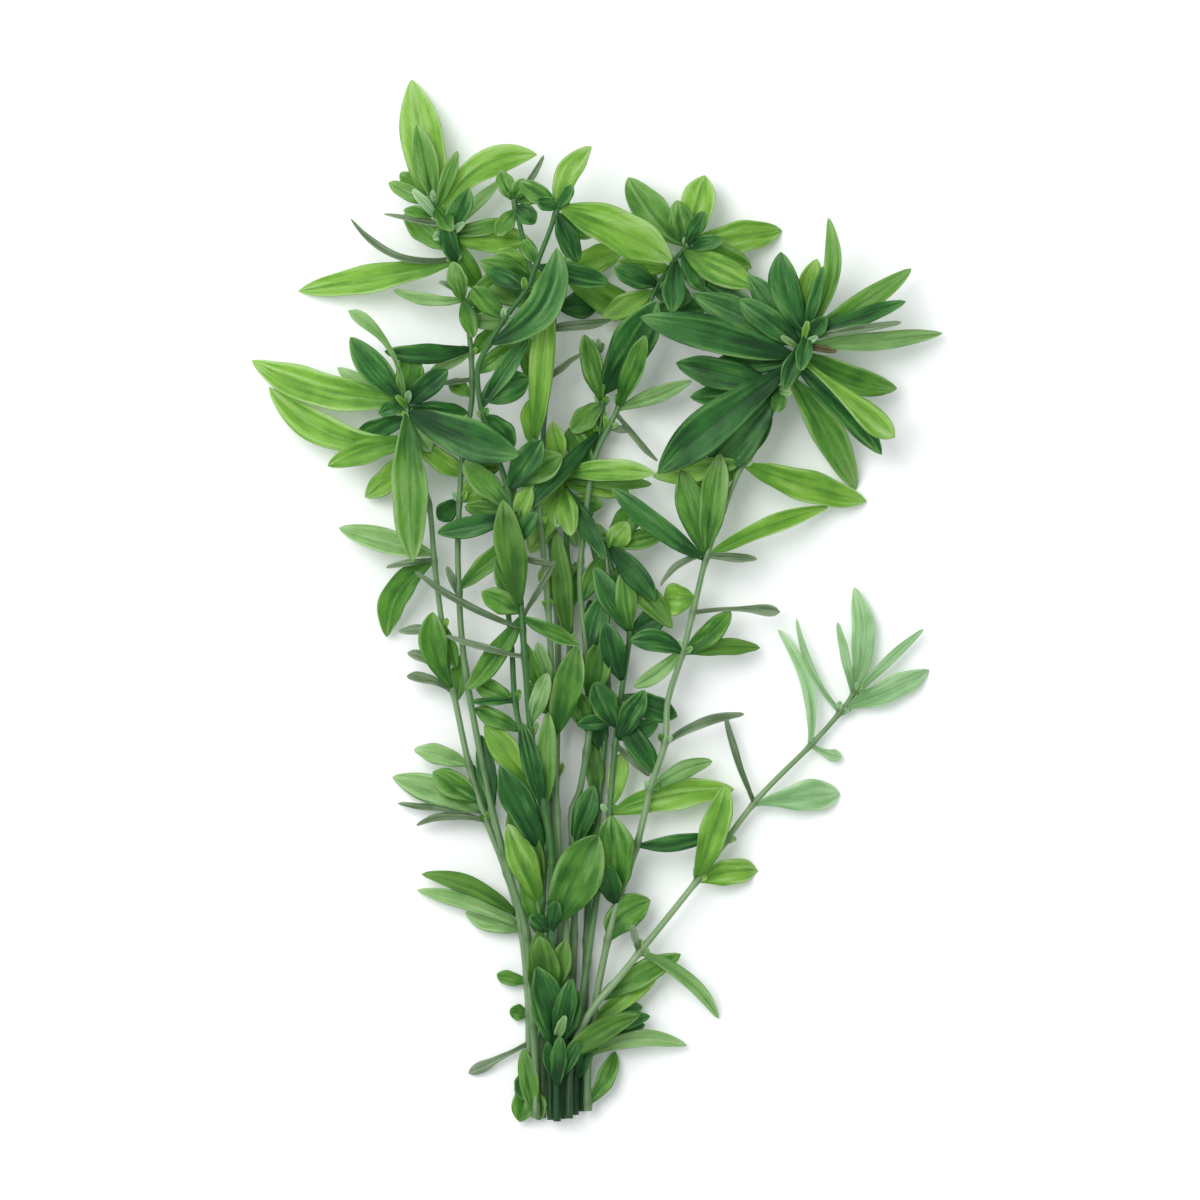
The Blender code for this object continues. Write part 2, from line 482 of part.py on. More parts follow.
def leaf_tree(leaf, stem, tip_height, margin):
    """A search tree of a leaf's solid, made thicker by a margin all round."""
    along, across = leaf_grid(leaf)
    t, v = np.meshgrid(np.linspace(0, 1, along + 1), np.linspace(-1, 1, across + 1), indexing="ij")
    points = leaf_surface(leaf, stem, tip_height, t, v)
    facing = unit(np.cross(np.gradient(points, axis=0), np.gradient(points, axis=1)))
    offset = facing * (LEAF_WALL / 2 + margin)
    both = np.concatenate([(points + offset).reshape(-1, 3), (points - offset).reshape(-1, 3)])
    return BVHTree.FromPolygons(both.tolist(), sheet_faces(along + 1, across + 1).tolist())


def stem_tree(stem, margin, sides=8):
    """A search tree of a stem's tube, made thicker by a margin."""
    marks = stem.rings()
    centres = stem.at(marks)
    heading = unit(np.gradient(centres, axis=0))
    flat = unit(np.cross(heading, [0, 0, 1.0]))
    top = np.cross(flat, heading)
    turn = np.arange(sides) * 2 * np.pi / sides
    reach = ((stem.radius(marks) + margin) / math.cos(math.pi / sides))[:, None, None]
    ring = np.cos(turn)[:, None] * flat[:, None] + np.sin(turn)[:, None] * top[:, None]
    points = (centres[:, None] + reach * ring).reshape(-1, 3)
    index = np.arange(len(marks) * sides).reshape(-1, sides)
    beside = np.roll(index, -1, axis=1)
    faces = np.stack([index[:-1], beside[:-1], beside[1:], index[1:]], axis=-1).reshape(-1, 4)
    return BVHTree.FromPolygons(points.tolist(), faces.tolist())


def settle(stems):
    """The height of every leaf's tip: the planned one, or the nearest trial at which the leaf lies clear.

    Leaves of their own are settled first. A leaf that is joined to its stem may touch that stem and the
    other leaves joined to it."""
    heights = {}
    taken = [(name, stem_tree(stem, GAP / 2)) for name, stem in stems.items()]
    order = [(name, number) for name in LEAVES for number in range(len(LEAVES[name]))]
    order.sort(key=lambda key: not LEAVES[key[0]][key[1]].own)
    trials = sorted(range(-TRIALS, TRIALS + 1), key=lambda k: (abs(k), -k))
    for name, number in order:
        leaf = LEAVES[name][number]
        rivals = [tree for owner, tree in taken if leaf.own or owner != name]
        best = None
        for trial in trials:
            height = leaf.high * MM + trial * TRIAL_STEP
            if height < FLOOR_CLEARANCE:
                continue
            tree = leaf_tree(leaf, stems[name], height, GAP / 2)
            touching = sum(bool(tree.overlap(rival)) for rival in rivals)
            if best is None or touching < best[0]:
                best = (touching, height, tree)
            if touching == 0:
                break
        heights[name, number] = best[1]
        taken.append(("" if leaf.own else name, best[2]))
        if best[0]:
            print(f"not clear: leaf {number} of the {name} stem touches {best[0]} others")
    return heights


def new_collection(name):
    collection = bpy.data.collections.new(name)
    bpy.context.scene.collection.children.link(collection)
    return collection


def material(name, colour, roughness=0.45):
    made = bpy.data.materials.get(name)
    if made is None:
        made = bpy.data.materials.new(name)
        made.use_nodes = True
        shader = made.node_tree.nodes["Principled BSDF"]
        shader.inputs["Base Color"].default_value = (*colour, 1)
        shader.inputs["Roughness"].default_value = roughness
    return made


def leaf_object(name, leaf, stem, tip_height, collection):
    """A leaf: a flat grid moved to the leaf's surface, with a wall from Solidify. A small leaf has points
    for ends."""
    along, across = leaf_grid(leaf)
    sheet = bmesh.new()
    bmesh.ops.create_grid(sheet, x_segments=along, y_segments=across, size=1)
    flat = np.array([vertex.co for vertex in sheet.verts])
    ends = [edge for edge in sheet.edges if abs(edge.verts[0].co.x + edge.verts[1].co.x) > 1.9]
    places = leaf_surface(leaf, stem, tip_height, (flat[None, :, 0] + 1) / 2, flat[None, :, 1])[0]
    for vertex, place in zip(sheet.verts, places):
        vertex.co = place
    if across == 1:
        bmesh.ops.collapse(sheet, edges=ends)
    mesh = bpy.data.meshes.new(name)
    sheet.to_mesh(mesh)
    sheet.free()
    mesh.shade_smooth()
    mesh.materials.append(material("leaf_" + leaf.look, LOOKS[leaf.look]))
    made = bpy.data.objects.new(name, mesh)
    collection.objects.link(made)
    wall = made.modifiers.new("wall", "SOLIDIFY")
    wall.thickness = LEAF_WALL
    wall.offset = 0
    return made


def stem_object(name, stem, collection):
    """A stem: a round curve with its own radius at each ring, made a mesh with its caps welded."""
    curve = bpy.data.curves.new(name, "CURVE")
    curve.dimensions = "3D"
    curve.bevel_depth = 1.0
    curve.bevel_resolution = 1
    curve.use_fill_caps = True
    marks = stem.rings()
    spline = curve.splines.new("POLY")
    spline.points.add(len(marks) - 1)
    for point, place, radius in zip(spline.points, stem.at(marks), stem.radius(marks)):
        point.co = (*place, 1)
        point.radius = radius
    guide = bpy.data.objects.new(name + "_guide", curve)
    collection.objects.link(guide)
    bpy.context.view_layer.update()
    graph = bpy.context.evaluated_depsgraph_get()
    mesh = bpy.data.meshes.new_from_object(guide.evaluated_get(graph))
    bpy.data.objects.remove(guide)
    welded = bmesh.new()
    welded.from_mesh(mesh)
    bmesh.ops.remove_doubles(welded, verts=welded.verts, dist=WELD)
    welded.to_mesh(mesh)
    welded.free()
    mesh.materials.clear()
    mesh.materials.append(material("stem", STEM_COLOUR))
    made = bpy.data.objects.new(name, mesh)
    collection.objects.link(made)
    return made


def grow(name, stem, heights, bunch):
    """A stem with its leaves: those of their own beside it, the others joined to it."""
    body = stem_object("stem_" + name, stem, bunch)
    young = new_collection("young_leaves_" + name)
    count = 0
    for number, leaf in enumerate(LEAVES[name]):
        if leaf.own:
            count += 1
            leaf_object(f"leaf_{name}_{count}", leaf, stem, heights[name, number], bunch)
            continue
        helper = leaf_object(f"young_{name}_{number}", leaf, stem, heights[name, number], young)
        helper.hide_render = True
        helper.display_type = "WIRE"
    join = body.modifiers.new("young leaves", "BOOLEAN")
    join.operation = "UNION"
    join.solver = "EXACT"
    join.material_mode = "TRANSFER"
    join.operand_type = "COLLECTION"
    join.collection = young


def main():
    for old in list(bpy.data.objects):
        bpy.data.objects.remove(old)
    bunch = new_collection("hygrophila_bunch")
    stems = {name: Stem(route, LEAVES[name]) for name, route in STEMS.items()}
    heights = settle(stems)
    for name, stem in stems.items():
        grow(name, stem, heights, bunch)


main()
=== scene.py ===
# %% [markdown]
# A bunch of hygrophila, a water plant with slim leaves in pairs, lies on a pale table. Twelve cut stems
# start side by side at the bottom of the picture and spread into leafy tips at the top. The camera looks
# straight down on it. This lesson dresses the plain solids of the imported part: every leaf becomes a thin
# blade with a stalk, a midrib and side veins, and every stem a tube with swollen joints.

import math
from dataclasses import dataclass

import bpy
import numpy as np
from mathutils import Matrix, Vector
from mathutils.bvhtree import BVHTree


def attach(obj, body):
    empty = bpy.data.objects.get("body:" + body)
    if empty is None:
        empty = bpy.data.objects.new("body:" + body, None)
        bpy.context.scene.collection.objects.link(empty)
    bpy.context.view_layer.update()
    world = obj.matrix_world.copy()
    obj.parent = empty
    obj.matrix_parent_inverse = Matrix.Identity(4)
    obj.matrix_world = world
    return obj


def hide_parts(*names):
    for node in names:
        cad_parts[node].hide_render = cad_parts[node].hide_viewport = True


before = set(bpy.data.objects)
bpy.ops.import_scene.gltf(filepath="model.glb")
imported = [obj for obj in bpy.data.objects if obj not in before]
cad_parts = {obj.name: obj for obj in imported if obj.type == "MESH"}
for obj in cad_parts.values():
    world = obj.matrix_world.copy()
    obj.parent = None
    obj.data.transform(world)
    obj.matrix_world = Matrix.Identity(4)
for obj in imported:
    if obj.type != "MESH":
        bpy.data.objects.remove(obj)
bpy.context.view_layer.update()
print("solids to dress:", len(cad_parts))

# %% [markdown]
# ## The plan of the bunch
# On the real plant a stem carries a pair of leaves at each joint. The plan below is the one that the solids
# were made from: the route of each stem, then the leaves that grow from it. Places are read from the photo
# in its own pixels, a quarter of a millimetre each, with x to the right and y down. The third number of a
# stem's place is its height above the table in millimetres. Keeping the plan as short lists, and not as
# meshes, lets one function draw every leaf.

# %% The routes of the stems
MM = 0.001
PIXEL = 0.25 * MM
MIDDLE_PX = (598, 600)

STEMS = {
    "tall": [(536, 1119, 4.0), (535, 1060, 4.4), (532, 1000, 5.4), (526, 930, 7.3), (511, 880, 8.7),
             (490, 800, 9.5), (469, 693, 10.0), (462, 640, 10.0), (459, 592, 10.0), (458, 536, 10.2),
             (463, 450, 10.8), (472, 400, 11.2), (470, 340, 11.6), (463, 300, 12.0), (455, 262, 12.5),
             (442, 225, 13.0), (433, 201, 13.4)],
    "left": [(529, 1117, 1.2), (529, 1060, 1.3), (528, 1000, 2.0), (521, 930, 3.8), (507, 875, 5.0),
             (486, 820, 6.0), (470, 770, 7.0), (455, 700, 8.5), (446, 656, 9.5), (442, 624, 10.3),
             (438, 592, 11.0), (434, 557, 11.5), (430, 510, 12.0), (420, 470, 12.5), (412, 435, 12.8),
             (406, 400, 13.0)],
    "dark": [(557, 1122, 6.7), (556, 1060, 7.0), (554, 1000, 8.0), (551, 930, 9.6), (552, 860, 11.5),
             (545, 810, 13.2), (532, 740, 14.5), (526, 672, 15.5), (523, 632, 15.8), (520, 592, 16.0),
             (516, 560, 16.2), (512, 528, 16.4), (508, 490, 16.6), (495, 450, 17.0), (482, 410, 18.0),
             (478, 370, 19.5), (490, 345, 20.5), (505, 320, 21.5), (527, 291, 22.5), (535, 271, 23.0),
             (543, 251, 23.4), (550, 233, 23.8), (559, 207, 24.2)],
    "bright": [(563, 1120, 4.0), (562, 1060, 4.4), (564, 1000, 5.0), (566, 930, 6.5), (560, 860, 8.2),
               (556, 800, 9.3), (554, 740, 10.0), (552, 680, 10.6), (549, 620, 11.0), (544, 560, 11.6),
               (538, 500, 12.2), (534, 440, 12.8), (538, 380, 13.4), (541, 320, 14.0), (532, 275, 14.6),
               (521, 230, 15.2), (512, 193, 15.8)],
    "upper_right": [(569, 1118, 1.2), (570, 1060, 1.3), (572, 1000, 1.8), (574, 930, 3.3), (575, 870, 4.2),
                    (571, 815, 5.5), (580, 790, 6.0), (588, 740, 6.8), (590, 700, 7.2), (585, 640, 7.8),
                    (580, 580, 8.4), (585, 520, 8.8), (592, 470, 8.7), (600, 445, 8.4), (610, 425, 8.1),
                    (625, 390, 7.8), (645, 320, 8.2), (655, 290, 8.7), (672, 265, 9.6), (688, 244, 10.8)],
    "inner": [(581, 1113, 1.2), (583, 1060, 1.3), (585, 1000, 1.5), (587, 930, 1.8), (590, 880, 3.0),
              (597, 830, 3.4), (601, 780, 3.8), (606, 720, 4.2), (608, 650, 4.4), (604, 600, 4.6),
              (596, 560, 4.8), (588, 520, 5.0), (590, 470, 5.2), (600, 430, 5.4), (603, 385, 5.6),
              (597, 348, 5.8)],
    "right": [(588, 1112, 4.2), (588, 1060, 4.9), (596, 1000, 6.0), (610, 930, 7.5), (618, 900, 8.0),
              (637, 845, 8.8), (650, 790, 9.5), (665, 742, 10.0), (668, 700, 10.4), (683, 652, 11.0),
              (696, 599, 11.6), (707, 555, 12.0), (727, 500, 12.8), (743, 464, 13.4), (765, 429, 14.0),
              (777, 395, 14.6), (788, 377, 15.0), (806, 334, 16.0)],
    "hub": [(575, 1116, 4.0), (576, 1060, 4.3), (582, 1000, 5.2), (592, 930, 5.8), (599, 880, 6.2),
            (608, 830, 6.6), (612, 780, 7.0), (617, 730, 7.3), (622, 690, 7.6), (628, 650, 7.8),
            (630, 622, 8.0), (621, 600, 8.2), (612, 570, 8.4), (607, 540, 8.6)],
    "star": [(542, 1120, 1.2), (542, 1060, 1.3), (544, 1000, 1.8), (550, 930, 3.4), (555, 860, 5.0),
             (552, 800, 5.8), (556, 740, 6.0), (565, 690, 6.1), (570, 640, 6.2), (569, 580, 6.4),
             (565, 520, 6.7), (562, 465, 7.0)],
    "low": [(551, 1121, 4.0), (549, 1060, 4.3), (547, 1000, 5.2), (541, 930, 7.0), (545, 850, 8.8),
            (540, 800, 10.2), (525, 750, 11.0), (515, 700, 11.5), (512, 650, 12.0), (508, 610, 12.3),
            (503, 560, 12.6), (497, 508, 13.0)],
    "back": [(557, 1119, 1.2), (556, 1060, 1.2), (557, 1000, 1.4), (560, 930, 1.8), (559, 860, 2.1),
             (556, 800, 2.6), (557, 740, 3.0), (558, 680, 3.2), (557, 620, 3.4), (552, 560, 3.6),
             (546, 500, 3.8), (543, 440, 4.0), (548, 380, 4.2), (554, 320, 4.4), (566, 265, 4.6)],
    "side": [(569, 1119, 6.7), (571, 1060, 7.2), (583, 1025, 8.8), (597, 1003, 9.8), (617, 980, 9.4),
             (640, 952, 8.2), (698, 880, 6.0), (755, 803, 4.3), (812, 745, 3.2), (843, 710, 2.6),
             (857, 690, 2.4)],
}

# %% [markdown]
# A leaf needs only a few numbers: the joint that it grows from, the place of its tip, its width, the swing
# of its middle and how far it is rolled about its midrib. Seen from above, a leaf that is rolled on its edge
# looks like a narrow strip.

# %% What a leaf is
@dataclass
class Leaf:
    """One leaf: at is its joint and to its tip, in pixels. high is the tip's height, wide its width and bend
    the sideways swing of its middle, to the left from joint to tip, in millimetres. roll turns it about its
    midrib, in degrees. widest is how far along its length it is widest. own says that it is a part of its
    own."""

    at: tuple
    to: tuple
    high: float
    wide: float
    bend: float = 0
    roll: float = 0
    widest: float = 0.55
    look: str = "green"
    own: bool = False

# %% [markdown]
# The leaves of each stem follow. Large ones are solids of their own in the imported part, and the small ones
# are joined to their stem there.

# %% The leaves of each stem
LEAVES = {
    "tall": [
        Leaf((434, 205), (411, 79), 0.3, 11, widest=0.45, look="bright", own=True),
        Leaf((440, 217), (537, 155), 12, 7.2, bend=5, widest=0.6, look="bright", own=True),
        Leaf((457, 262), (298, 290), 0.3, 7, bend=0.3, widest=0.56, look="bright", own=True),
        Leaf((447, 235), (530, 240), 9, 7.6, look="bright", own=True),
        Leaf((471, 348), (385, 352), 17, 5, bend=1, look="dark", own=True),
        Leaf((455, 258), (351, 218), 9, 2.4, bend=4.6, roll=40, look="grey"),
        Leaf((463, 300), (395, 291), 7, 3, bend=1, look="pale"),
        Leaf((450, 240), (480, 290), 8, 6),
        Leaf((452, 250), (404, 214), 6, 6.4),
        Leaf((434, 203), (417, 125), 12, 6.4),
        Leaf((436, 209), (458, 152), 16, 3.6),
        Leaf((434, 204), (387, 182), 11, 4),
        Leaf((438, 214), (404, 211), 15, 3),
        Leaf((442, 224), (384, 214), 10, 2, roll=45, look="grey"),
        Leaf((447, 236), (470, 190), 20, 5.6, look="dark"),
        Leaf((446, 233), (500, 181), 9, 3, look="pale"),
        Leaf((462, 293), (440, 281), 14, 1.8, roll=45, look="grey"),
        Leaf((468, 322), (508, 320), 9, 5, look="pale"),
        Leaf((471, 355), (430, 372), 9, 3, look="pale"),
        Leaf((472, 378), (441, 384), 8, 2, roll=45, look="grey"),
        Leaf((461, 500), (494, 474), 7, 7, look="bright"),
        Leaf((459, 588), (512, 540), 9, 5),
        Leaf((459, 590), (447, 566), 10, 1.8, look="grey"),
        Leaf((434, 203), (400, 172), 10, 5),
        Leaf((459, 500), (438, 520), 8, 5, look="dark"),
        Leaf((538, 1112), (523, 1050), 3, 5),
    ],
    "left": [
        Leaf((405, 399), (251, 360), 0.3, 9, bend=2.7, look="bright", own=True),
        Leaf((413, 440), (268, 387), 0.3, 7.8, bend=5.4, widest=0.6, look="bright", own=True),
        Leaf((408, 414), (413, 562), 14, 9, look="green", own=True),
        Leaf((434, 560), (386, 638), 3, 7, bend=-3.5, look="green", own=True),
        Leaf((405, 396), (350, 337), 15, 7, bend=0.5, look="dark", own=True),
        Leaf((408, 412), (520, 456), 21, 10, bend=-1, look="dark", own=True),
        Leaf((434, 555), (339, 528), 5, 6.4, look="pale", own=True),
        Leaf((413, 440), (328, 466), 3, 6.2, bend=-0.9, look="bright"),
        Leaf((415, 448), (363, 498), 3, 6, bend=0.8, look="bright"),
        Leaf((406, 402), (448, 370), 16, 6, look="dark"),
        Leaf((452, 686), (433, 612), 12, 7, bend=1.8, widest=0.62),
        Leaf((467, 764), (414, 750), 5, 5, bend=-0.6, look="pale"),
        Leaf((484, 813), (392, 778), 0.3, 7, bend=-0.8, look="pale"),
        Leaf((406, 400), (350, 312), 19, 3.4, bend=-3.6, widest=0.85, look="pale"),
        Leaf((409, 415), (335, 366), 8, 4.6, look="pale"),
        Leaf((409, 416), (352, 440), 10, 5.5, look="dark"),
        Leaf((412, 434), (442, 462), 9, 4.2, look="pale"),
        Leaf((414, 444), (464, 476), 6, 5.4, look="bright"),
        Leaf((434, 562), (386, 567), 9, 2, roll=40, look="grey"),
        Leaf((442, 628), (398, 631), 8, 2.8, roll=35, look="grey"),
        Leaf((451, 684), (407, 653), 7, 3, bend=-1.5, roll=30, widest=0.75, look="grey"),
        Leaf((453, 692), (407, 677), 5, 3, bend=-1, roll=30, widest=0.7, look="grey"),
        Leaf((483, 810), (398, 806), 3, 2.2, roll=35, look="grey"),
        Leaf((486, 818), (415, 825), 4, 2.4, bend=-1.5, roll=35, look="grey"),
        Leaf((515, 918), (421, 875), 3, 4.6, bend=-2.2, look="olive"),
        Leaf((516, 924), (416, 891), 2, 4, bend=-1.2, look="pale"),
        Leaf((517, 930), (465, 914), 1.5, 5.6, look="pale"),
        Leaf((520, 982), (495, 976), 1, 3.6),
        Leaf((522, 1016), (510, 1012), 1, 4),
        Leaf((525, 1044), (468, 1075), 1, 2.8, widest=0.8, look="grey"),
        Leaf((526, 1056), (517, 1118), 0.3, 5, bend=0.6, roll=-15, look="bright"),
        Leaf((406, 400), (412, 352), 15, 7),
        Leaf((482, 800), (432, 772), 4, 7),
    ],
    "dark": [
        Leaf((492, 343), (557, 250), 27, 8.8, bend=-5.4, look="dark", own=True),
        Leaf((558, 210), (672, 262), 17, 10.6, bend=1.2, look="bright", own=True),
        Leaf((506, 482), (562, 456), 14, 8, look="green", own=True),
        Leaf((520, 605), (503, 500), 13, 7.6, look="olive", own=True),
        Leaf((551, 925), (598, 834), 14, 12, look="green", own=True),
        Leaf((558, 208), (592, 148), 18, 6, bend=2, widest=0.5, look="bright"),
        Leaf((556, 216), (578, 264), 21, 5.5, look="dark"),
        Leaf((537, 268), (610, 284), 18, 5.6, look="dark"),
        Leaf((527, 291), (487, 271), 19, 4.6, look="dark"),
        Leaf((482, 408), (527, 338), 17, 4.6, look="dark"),
        Leaf((512, 520), (438, 533), 13, 5.4, look="dark"),
        Leaf((558, 209), (536, 204), 27, 3.6, look="dark"),
        Leaf((558, 209), (573, 188), 27, 3.2, look="dark"),
        Leaf((521, 610), (482, 592), 17, 6),
        Leaf((523, 618), (467, 690), 11, 5.6, bend=0.6),
        Leaf((523, 618), (580, 645), 18, 4),
        Leaf((523, 630), (415, 574), 13, 2.2, bend=1, roll=35, look="grey"),
        Leaf((522, 614), (556, 560), 13, 2, roll=40, look="grey"),
        Leaf((525, 656), (446, 635), 13, 2.2, bend=0.5, roll=40, look="grey"),
        Leaf((514, 544), (504, 514), 19, 3, look="pale"),
        Leaf((514, 544), (537, 512), 19, 4, look="dark"),
        Leaf((516, 556), (556, 564), 15, 2, roll=40, look="grey"),
        Leaf((545, 806), (548, 712), 13, 5),
        Leaf((544, 804), (522, 722), 15, 5, look="dark"),
        Leaf((505, 320), (472, 288), 19, 5.5),
        Leaf((508, 490), (542, 440), 13, 7, look="dark"),
        Leaf((481, 400), (529, 378), 16, 8.4, look="dark"),
        Leaf((484, 415), (514, 446), 15, 6.4, look="dark"),
    ],
    "bright": [
        Leaf((554, 735), (577, 645), 14, 7.6, look="green", own=True),
        Leaf((535, 440), (548, 300), 17, 6.4, look="bright"),
        Leaf((513, 199), (500, 172), 17, 4.4),
        Leaf((514, 203), (545, 157), 17, 1.8, roll=40, look="grey"),
        Leaf((515, 207), (536, 224), 18, 5, look="dark"),
        Leaf((513, 199), (525, 180), 19, 4),
        Leaf((531, 268), (496, 254), 11, 6, look="bright"),
        Leaf((532, 275), (503, 296), 12, 5, look="pale"),
        Leaf((538, 384), (581, 352), 14, 2, roll=40, look="grey"),
        Leaf((541, 328), (612, 321), 12, 2.8, roll=25, look="grey"),
        Leaf((551, 690), (537, 642), 12, 4, look="pale"),
        Leaf((532, 280), (480, 262), 13, 6.4),
        Leaf((553, 715), (530, 682), 11, 5),
    ],
    "star": [
        Leaf((562, 476), (655, 474), 15, 5.6, bend=1, look="bright", own=True),
        Leaf((564, 487), (530, 552), 5, 7.4, look="bright", own=True),
        Leaf((574, 640), (556, 530), 8, 5.6, look="olive"),
        Leaf((564, 486), (606, 560), 8, 4.4, look="dark"),
        Leaf((563, 482), (628, 491), 5, 5, look="bright"),
        Leaf((566, 504), (577, 548), 4, 4, look="pale"),
    ],
    "back": [
        Leaf((564, 274), (641, 318), 3, 8, look="bright", own=True),
        Leaf((565, 269), (622, 249), 4, 7, look="bright"),
        Leaf((560, 292), (500, 264), 3, 6, look="bright"),
        Leaf((547, 395), (520, 330), 3, 6, look="olive"),
        Leaf((556, 600), (548, 560), 4, 6, look="bright"),
    ],
    "upper_right": [
        Leaf((687, 246), (628, 177), 7, 8.6, bend=1.2, look="green", own=True),
        Leaf((688, 245), (705, 174), 6, 8.8, look="bright", own=True),
        Leaf((687, 246), (783, 229), 0.3, 8, look="bright", own=True),
        Leaf((617, 402), (645, 336), 21, 5.4, look="green", own=True),
        Leaf((683, 251), (753, 287), 5, 8, look="bright"),
        Leaf((658, 285), (614, 268), 14, 6, look="dark"),
        Leaf((675, 261), (672, 314), 15, 6, look="dark"),
        Leaf((688, 244), (704, 212), 15, 4, look="dark"),
        Leaf((687, 246), (724, 240), 15, 4, look="dark"),
        Leaf((655, 292), (603, 318), 7, 6, look="bright"),
        Leaf((617, 408), (692, 381), 9, 4, look="pale"),
        Leaf((616, 412), (657, 462), 9, 2, roll=40, look="grey"),
        Leaf((609, 428), (632, 430), 9, 1.8, look="grey"),
        Leaf((683, 252), (706, 292), 12, 6.4, look="dark"),
        Leaf((648, 312), (706, 308), 6, 7, look="dark"),
        Leaf((572, 845), (594, 785), 7, 6, look="dark"),
        Leaf((592, 468), (568, 426), 9, 6),
    ],
    "inner": [
        Leaf((602, 392), (657, 302), 13, 10.4, look="dark", own=True),
        Leaf((598, 432), (521, 514), 16, 4.4, look="dark", own=True),
        Leaf((602, 400), (584, 335), 9, 5.6),
        Leaf((602, 404), (590, 450), 3, 5.4, look="bright"),
    ],
    "right": [
        Leaf((796, 357), (640, 318), 17, 9, look="dark", own=True),
        Leaf((791, 368), (657, 474), 15, 10.4, bend=-0.8, widest=0.6, look="dark", own=True),
        Leaf((801, 346), (693, 278), 9, 6.6, look="dark", own=True),
        Leaf((803, 341), (817, 260), 10, 7.2, bend=0.5, look="bright", own=True),
        Leaf((806, 335), (828, 219), 16, 4.4, bend=-3.4, look="green", own=True),
        Leaf((806, 335), (912, 268), 10, 5.6, bend=-0.9, look="green", own=True),
        Leaf((801, 346), (945, 332), 4, 4.6, bend=-0.6, look="pale", own=True),
        Leaf((798, 353), (897, 388), 5, 7, bend=-1.6, look="green", own=True),
        Leaf((793, 364), (882, 455), 9, 6.4, bend=1.2, look="dark", own=True),
        Leaf((788, 377), (857, 489), 0.3, 8, bend=1, look="green", own=True),
        Leaf((743, 465), (866, 501), 0.3, 8, bend=-0.6, look="bright", own=True),
        Leaf((708, 553), (828, 507), 4, 4.6, bend=1.2, look="bright", own=True),
        Leaf((797, 357), (894, 438), 1, 6.6, widest=0.78, look="bright"),
        Leaf((806, 334), (780, 253), 20, 8, bend=1.5, look="dark"),
        Leaf((806, 334), (904, 303), 15, 4.4, look="dark"),
        Leaf((805, 338), (901, 323), 13, 2, look="grey"),
        Leaf((806, 335), (822, 268), 21, 3, look="dark"),
        Leaf((801, 346), (836, 352), 16, 1.6, look="brown"),
        Leaf((780, 390), (676, 363), 11, 8, look="dark"),
        Leaf((743, 465), (652, 477), 9, 6, look="bright"),
        Leaf((707, 556), (681, 470), 12, 7.4),
        Leaf((706, 558), (611, 487), 16, 5.6, bend=0.8, look="dark"),
        Leaf((708, 554), (757, 559), 9, 2.2, look="grey"),
        Leaf((697, 599), (662, 600), 9, 8, look="bright"),
        Leaf((693, 613), (781, 612), 7, 2.8, bend=0.8, widest=0.85, look="grey"),
        Leaf((684, 650), (730, 611), 9, 5.6, bend=-0.8),
        Leaf((684, 650), (761, 648), 6, 4.2, bend=0.8, look="olive"),
        Leaf((683, 654), (633, 687), 8, 4.2, bend=0.8, look="pale"),
        Leaf((683, 650), (630, 641), 14, 5.8, bend=-1.4, look="dark"),
        Leaf((665, 742), (744, 714), 6, 2.4, bend=1.5, look="grey"),
        Leaf((650, 792), (714, 761), 6, 4.4, bend=1.2, look="pale"),
        Leaf((637, 846), (712, 836), 6, 4.2, bend=-0.6, look="dark"),
        Leaf((608, 942), (651, 901), 6, 8.4, bend=2),
        Leaf((597, 1000), (681, 955), 4, 6.2, bend=0.4),
        Leaf((594, 1015), (644, 1008), 3, 5, look="dark"),
        Leaf((591, 1035), (645, 1026), 2, 5, look="dark"),
        Leaf((586, 1055), (687, 1047), 1, 4.2, bend=3, look="pale"),
        Leaf((588, 1104), (615, 1052), 1, 4.6, bend=-1),
        Leaf((803, 341), (748, 276), 14, 7, look="dark"),
        Leaf((779, 393), (690, 397), 10, 6.4, look="dark"),
        Leaf((777, 398), (708, 480), 11, 9.5, look="dark"),
        Leaf((708, 552), (720, 452), 12, 7),
        Leaf((622, 893), (611, 815), 12, 10),
        Leaf((592, 1022), (658, 974), 4, 5, look="bright"),
    ],
    "hub": [
        Leaf((612, 570), (672, 628), 10, 6, bend=1, look="olive", own=True),
        Leaf((609, 812), (734, 790), 5, 7.6, bend=1.6, look="bright", own=True),
        Leaf((622, 696), (678, 717), 9, 6.6, look="dark", own=True),
        Leaf((608, 544), (667, 534), 8, 5),
        Leaf((629, 630), (623, 571), 10, 5.4),
        Leaf((629, 630), (594, 566), 9, 6, look="dark"),
        Leaf((618, 715), (657, 775), 7, 6, look="dark"),
        Leaf((618, 720), (577, 725), 9, 4.2, look="dark"),
        Leaf((610, 805), (623, 752), 5, 5, look="bright"),
        Leaf((616, 744), (650, 776), 8, 1.8, look="grey"),
        Leaf((630, 632), (668, 610), 9, 6, look="dark"),
        Leaf((616, 738), (645, 690), 9, 6, look="dark"),
        Leaf((608, 548), (655, 601), 9, 6, bend=0.5, look="dark"),
    ],
    "low": [
        Leaf((538, 792), (484, 722), 9, 7, look="bright", own=True),
        Leaf((542, 905), (508, 824), 8, 7.4, look="bright"),
        Leaf((515, 702), (472, 702), 10, 2, look="dark"),
        Leaf((498, 514), (479, 482), 14, 4, look="bright"),
        Leaf((498, 514), (514, 482), 14, 4),
        Leaf((541, 850), (500, 765), 10, 8, look="dark"),
        Leaf((543, 892), (511, 806), 9, 8, look="olive"),
    ],
    "side": [
        Leaf((857, 692), (856, 588), 0.3, 5.8, bend=-2.2, look="mint", own=True),
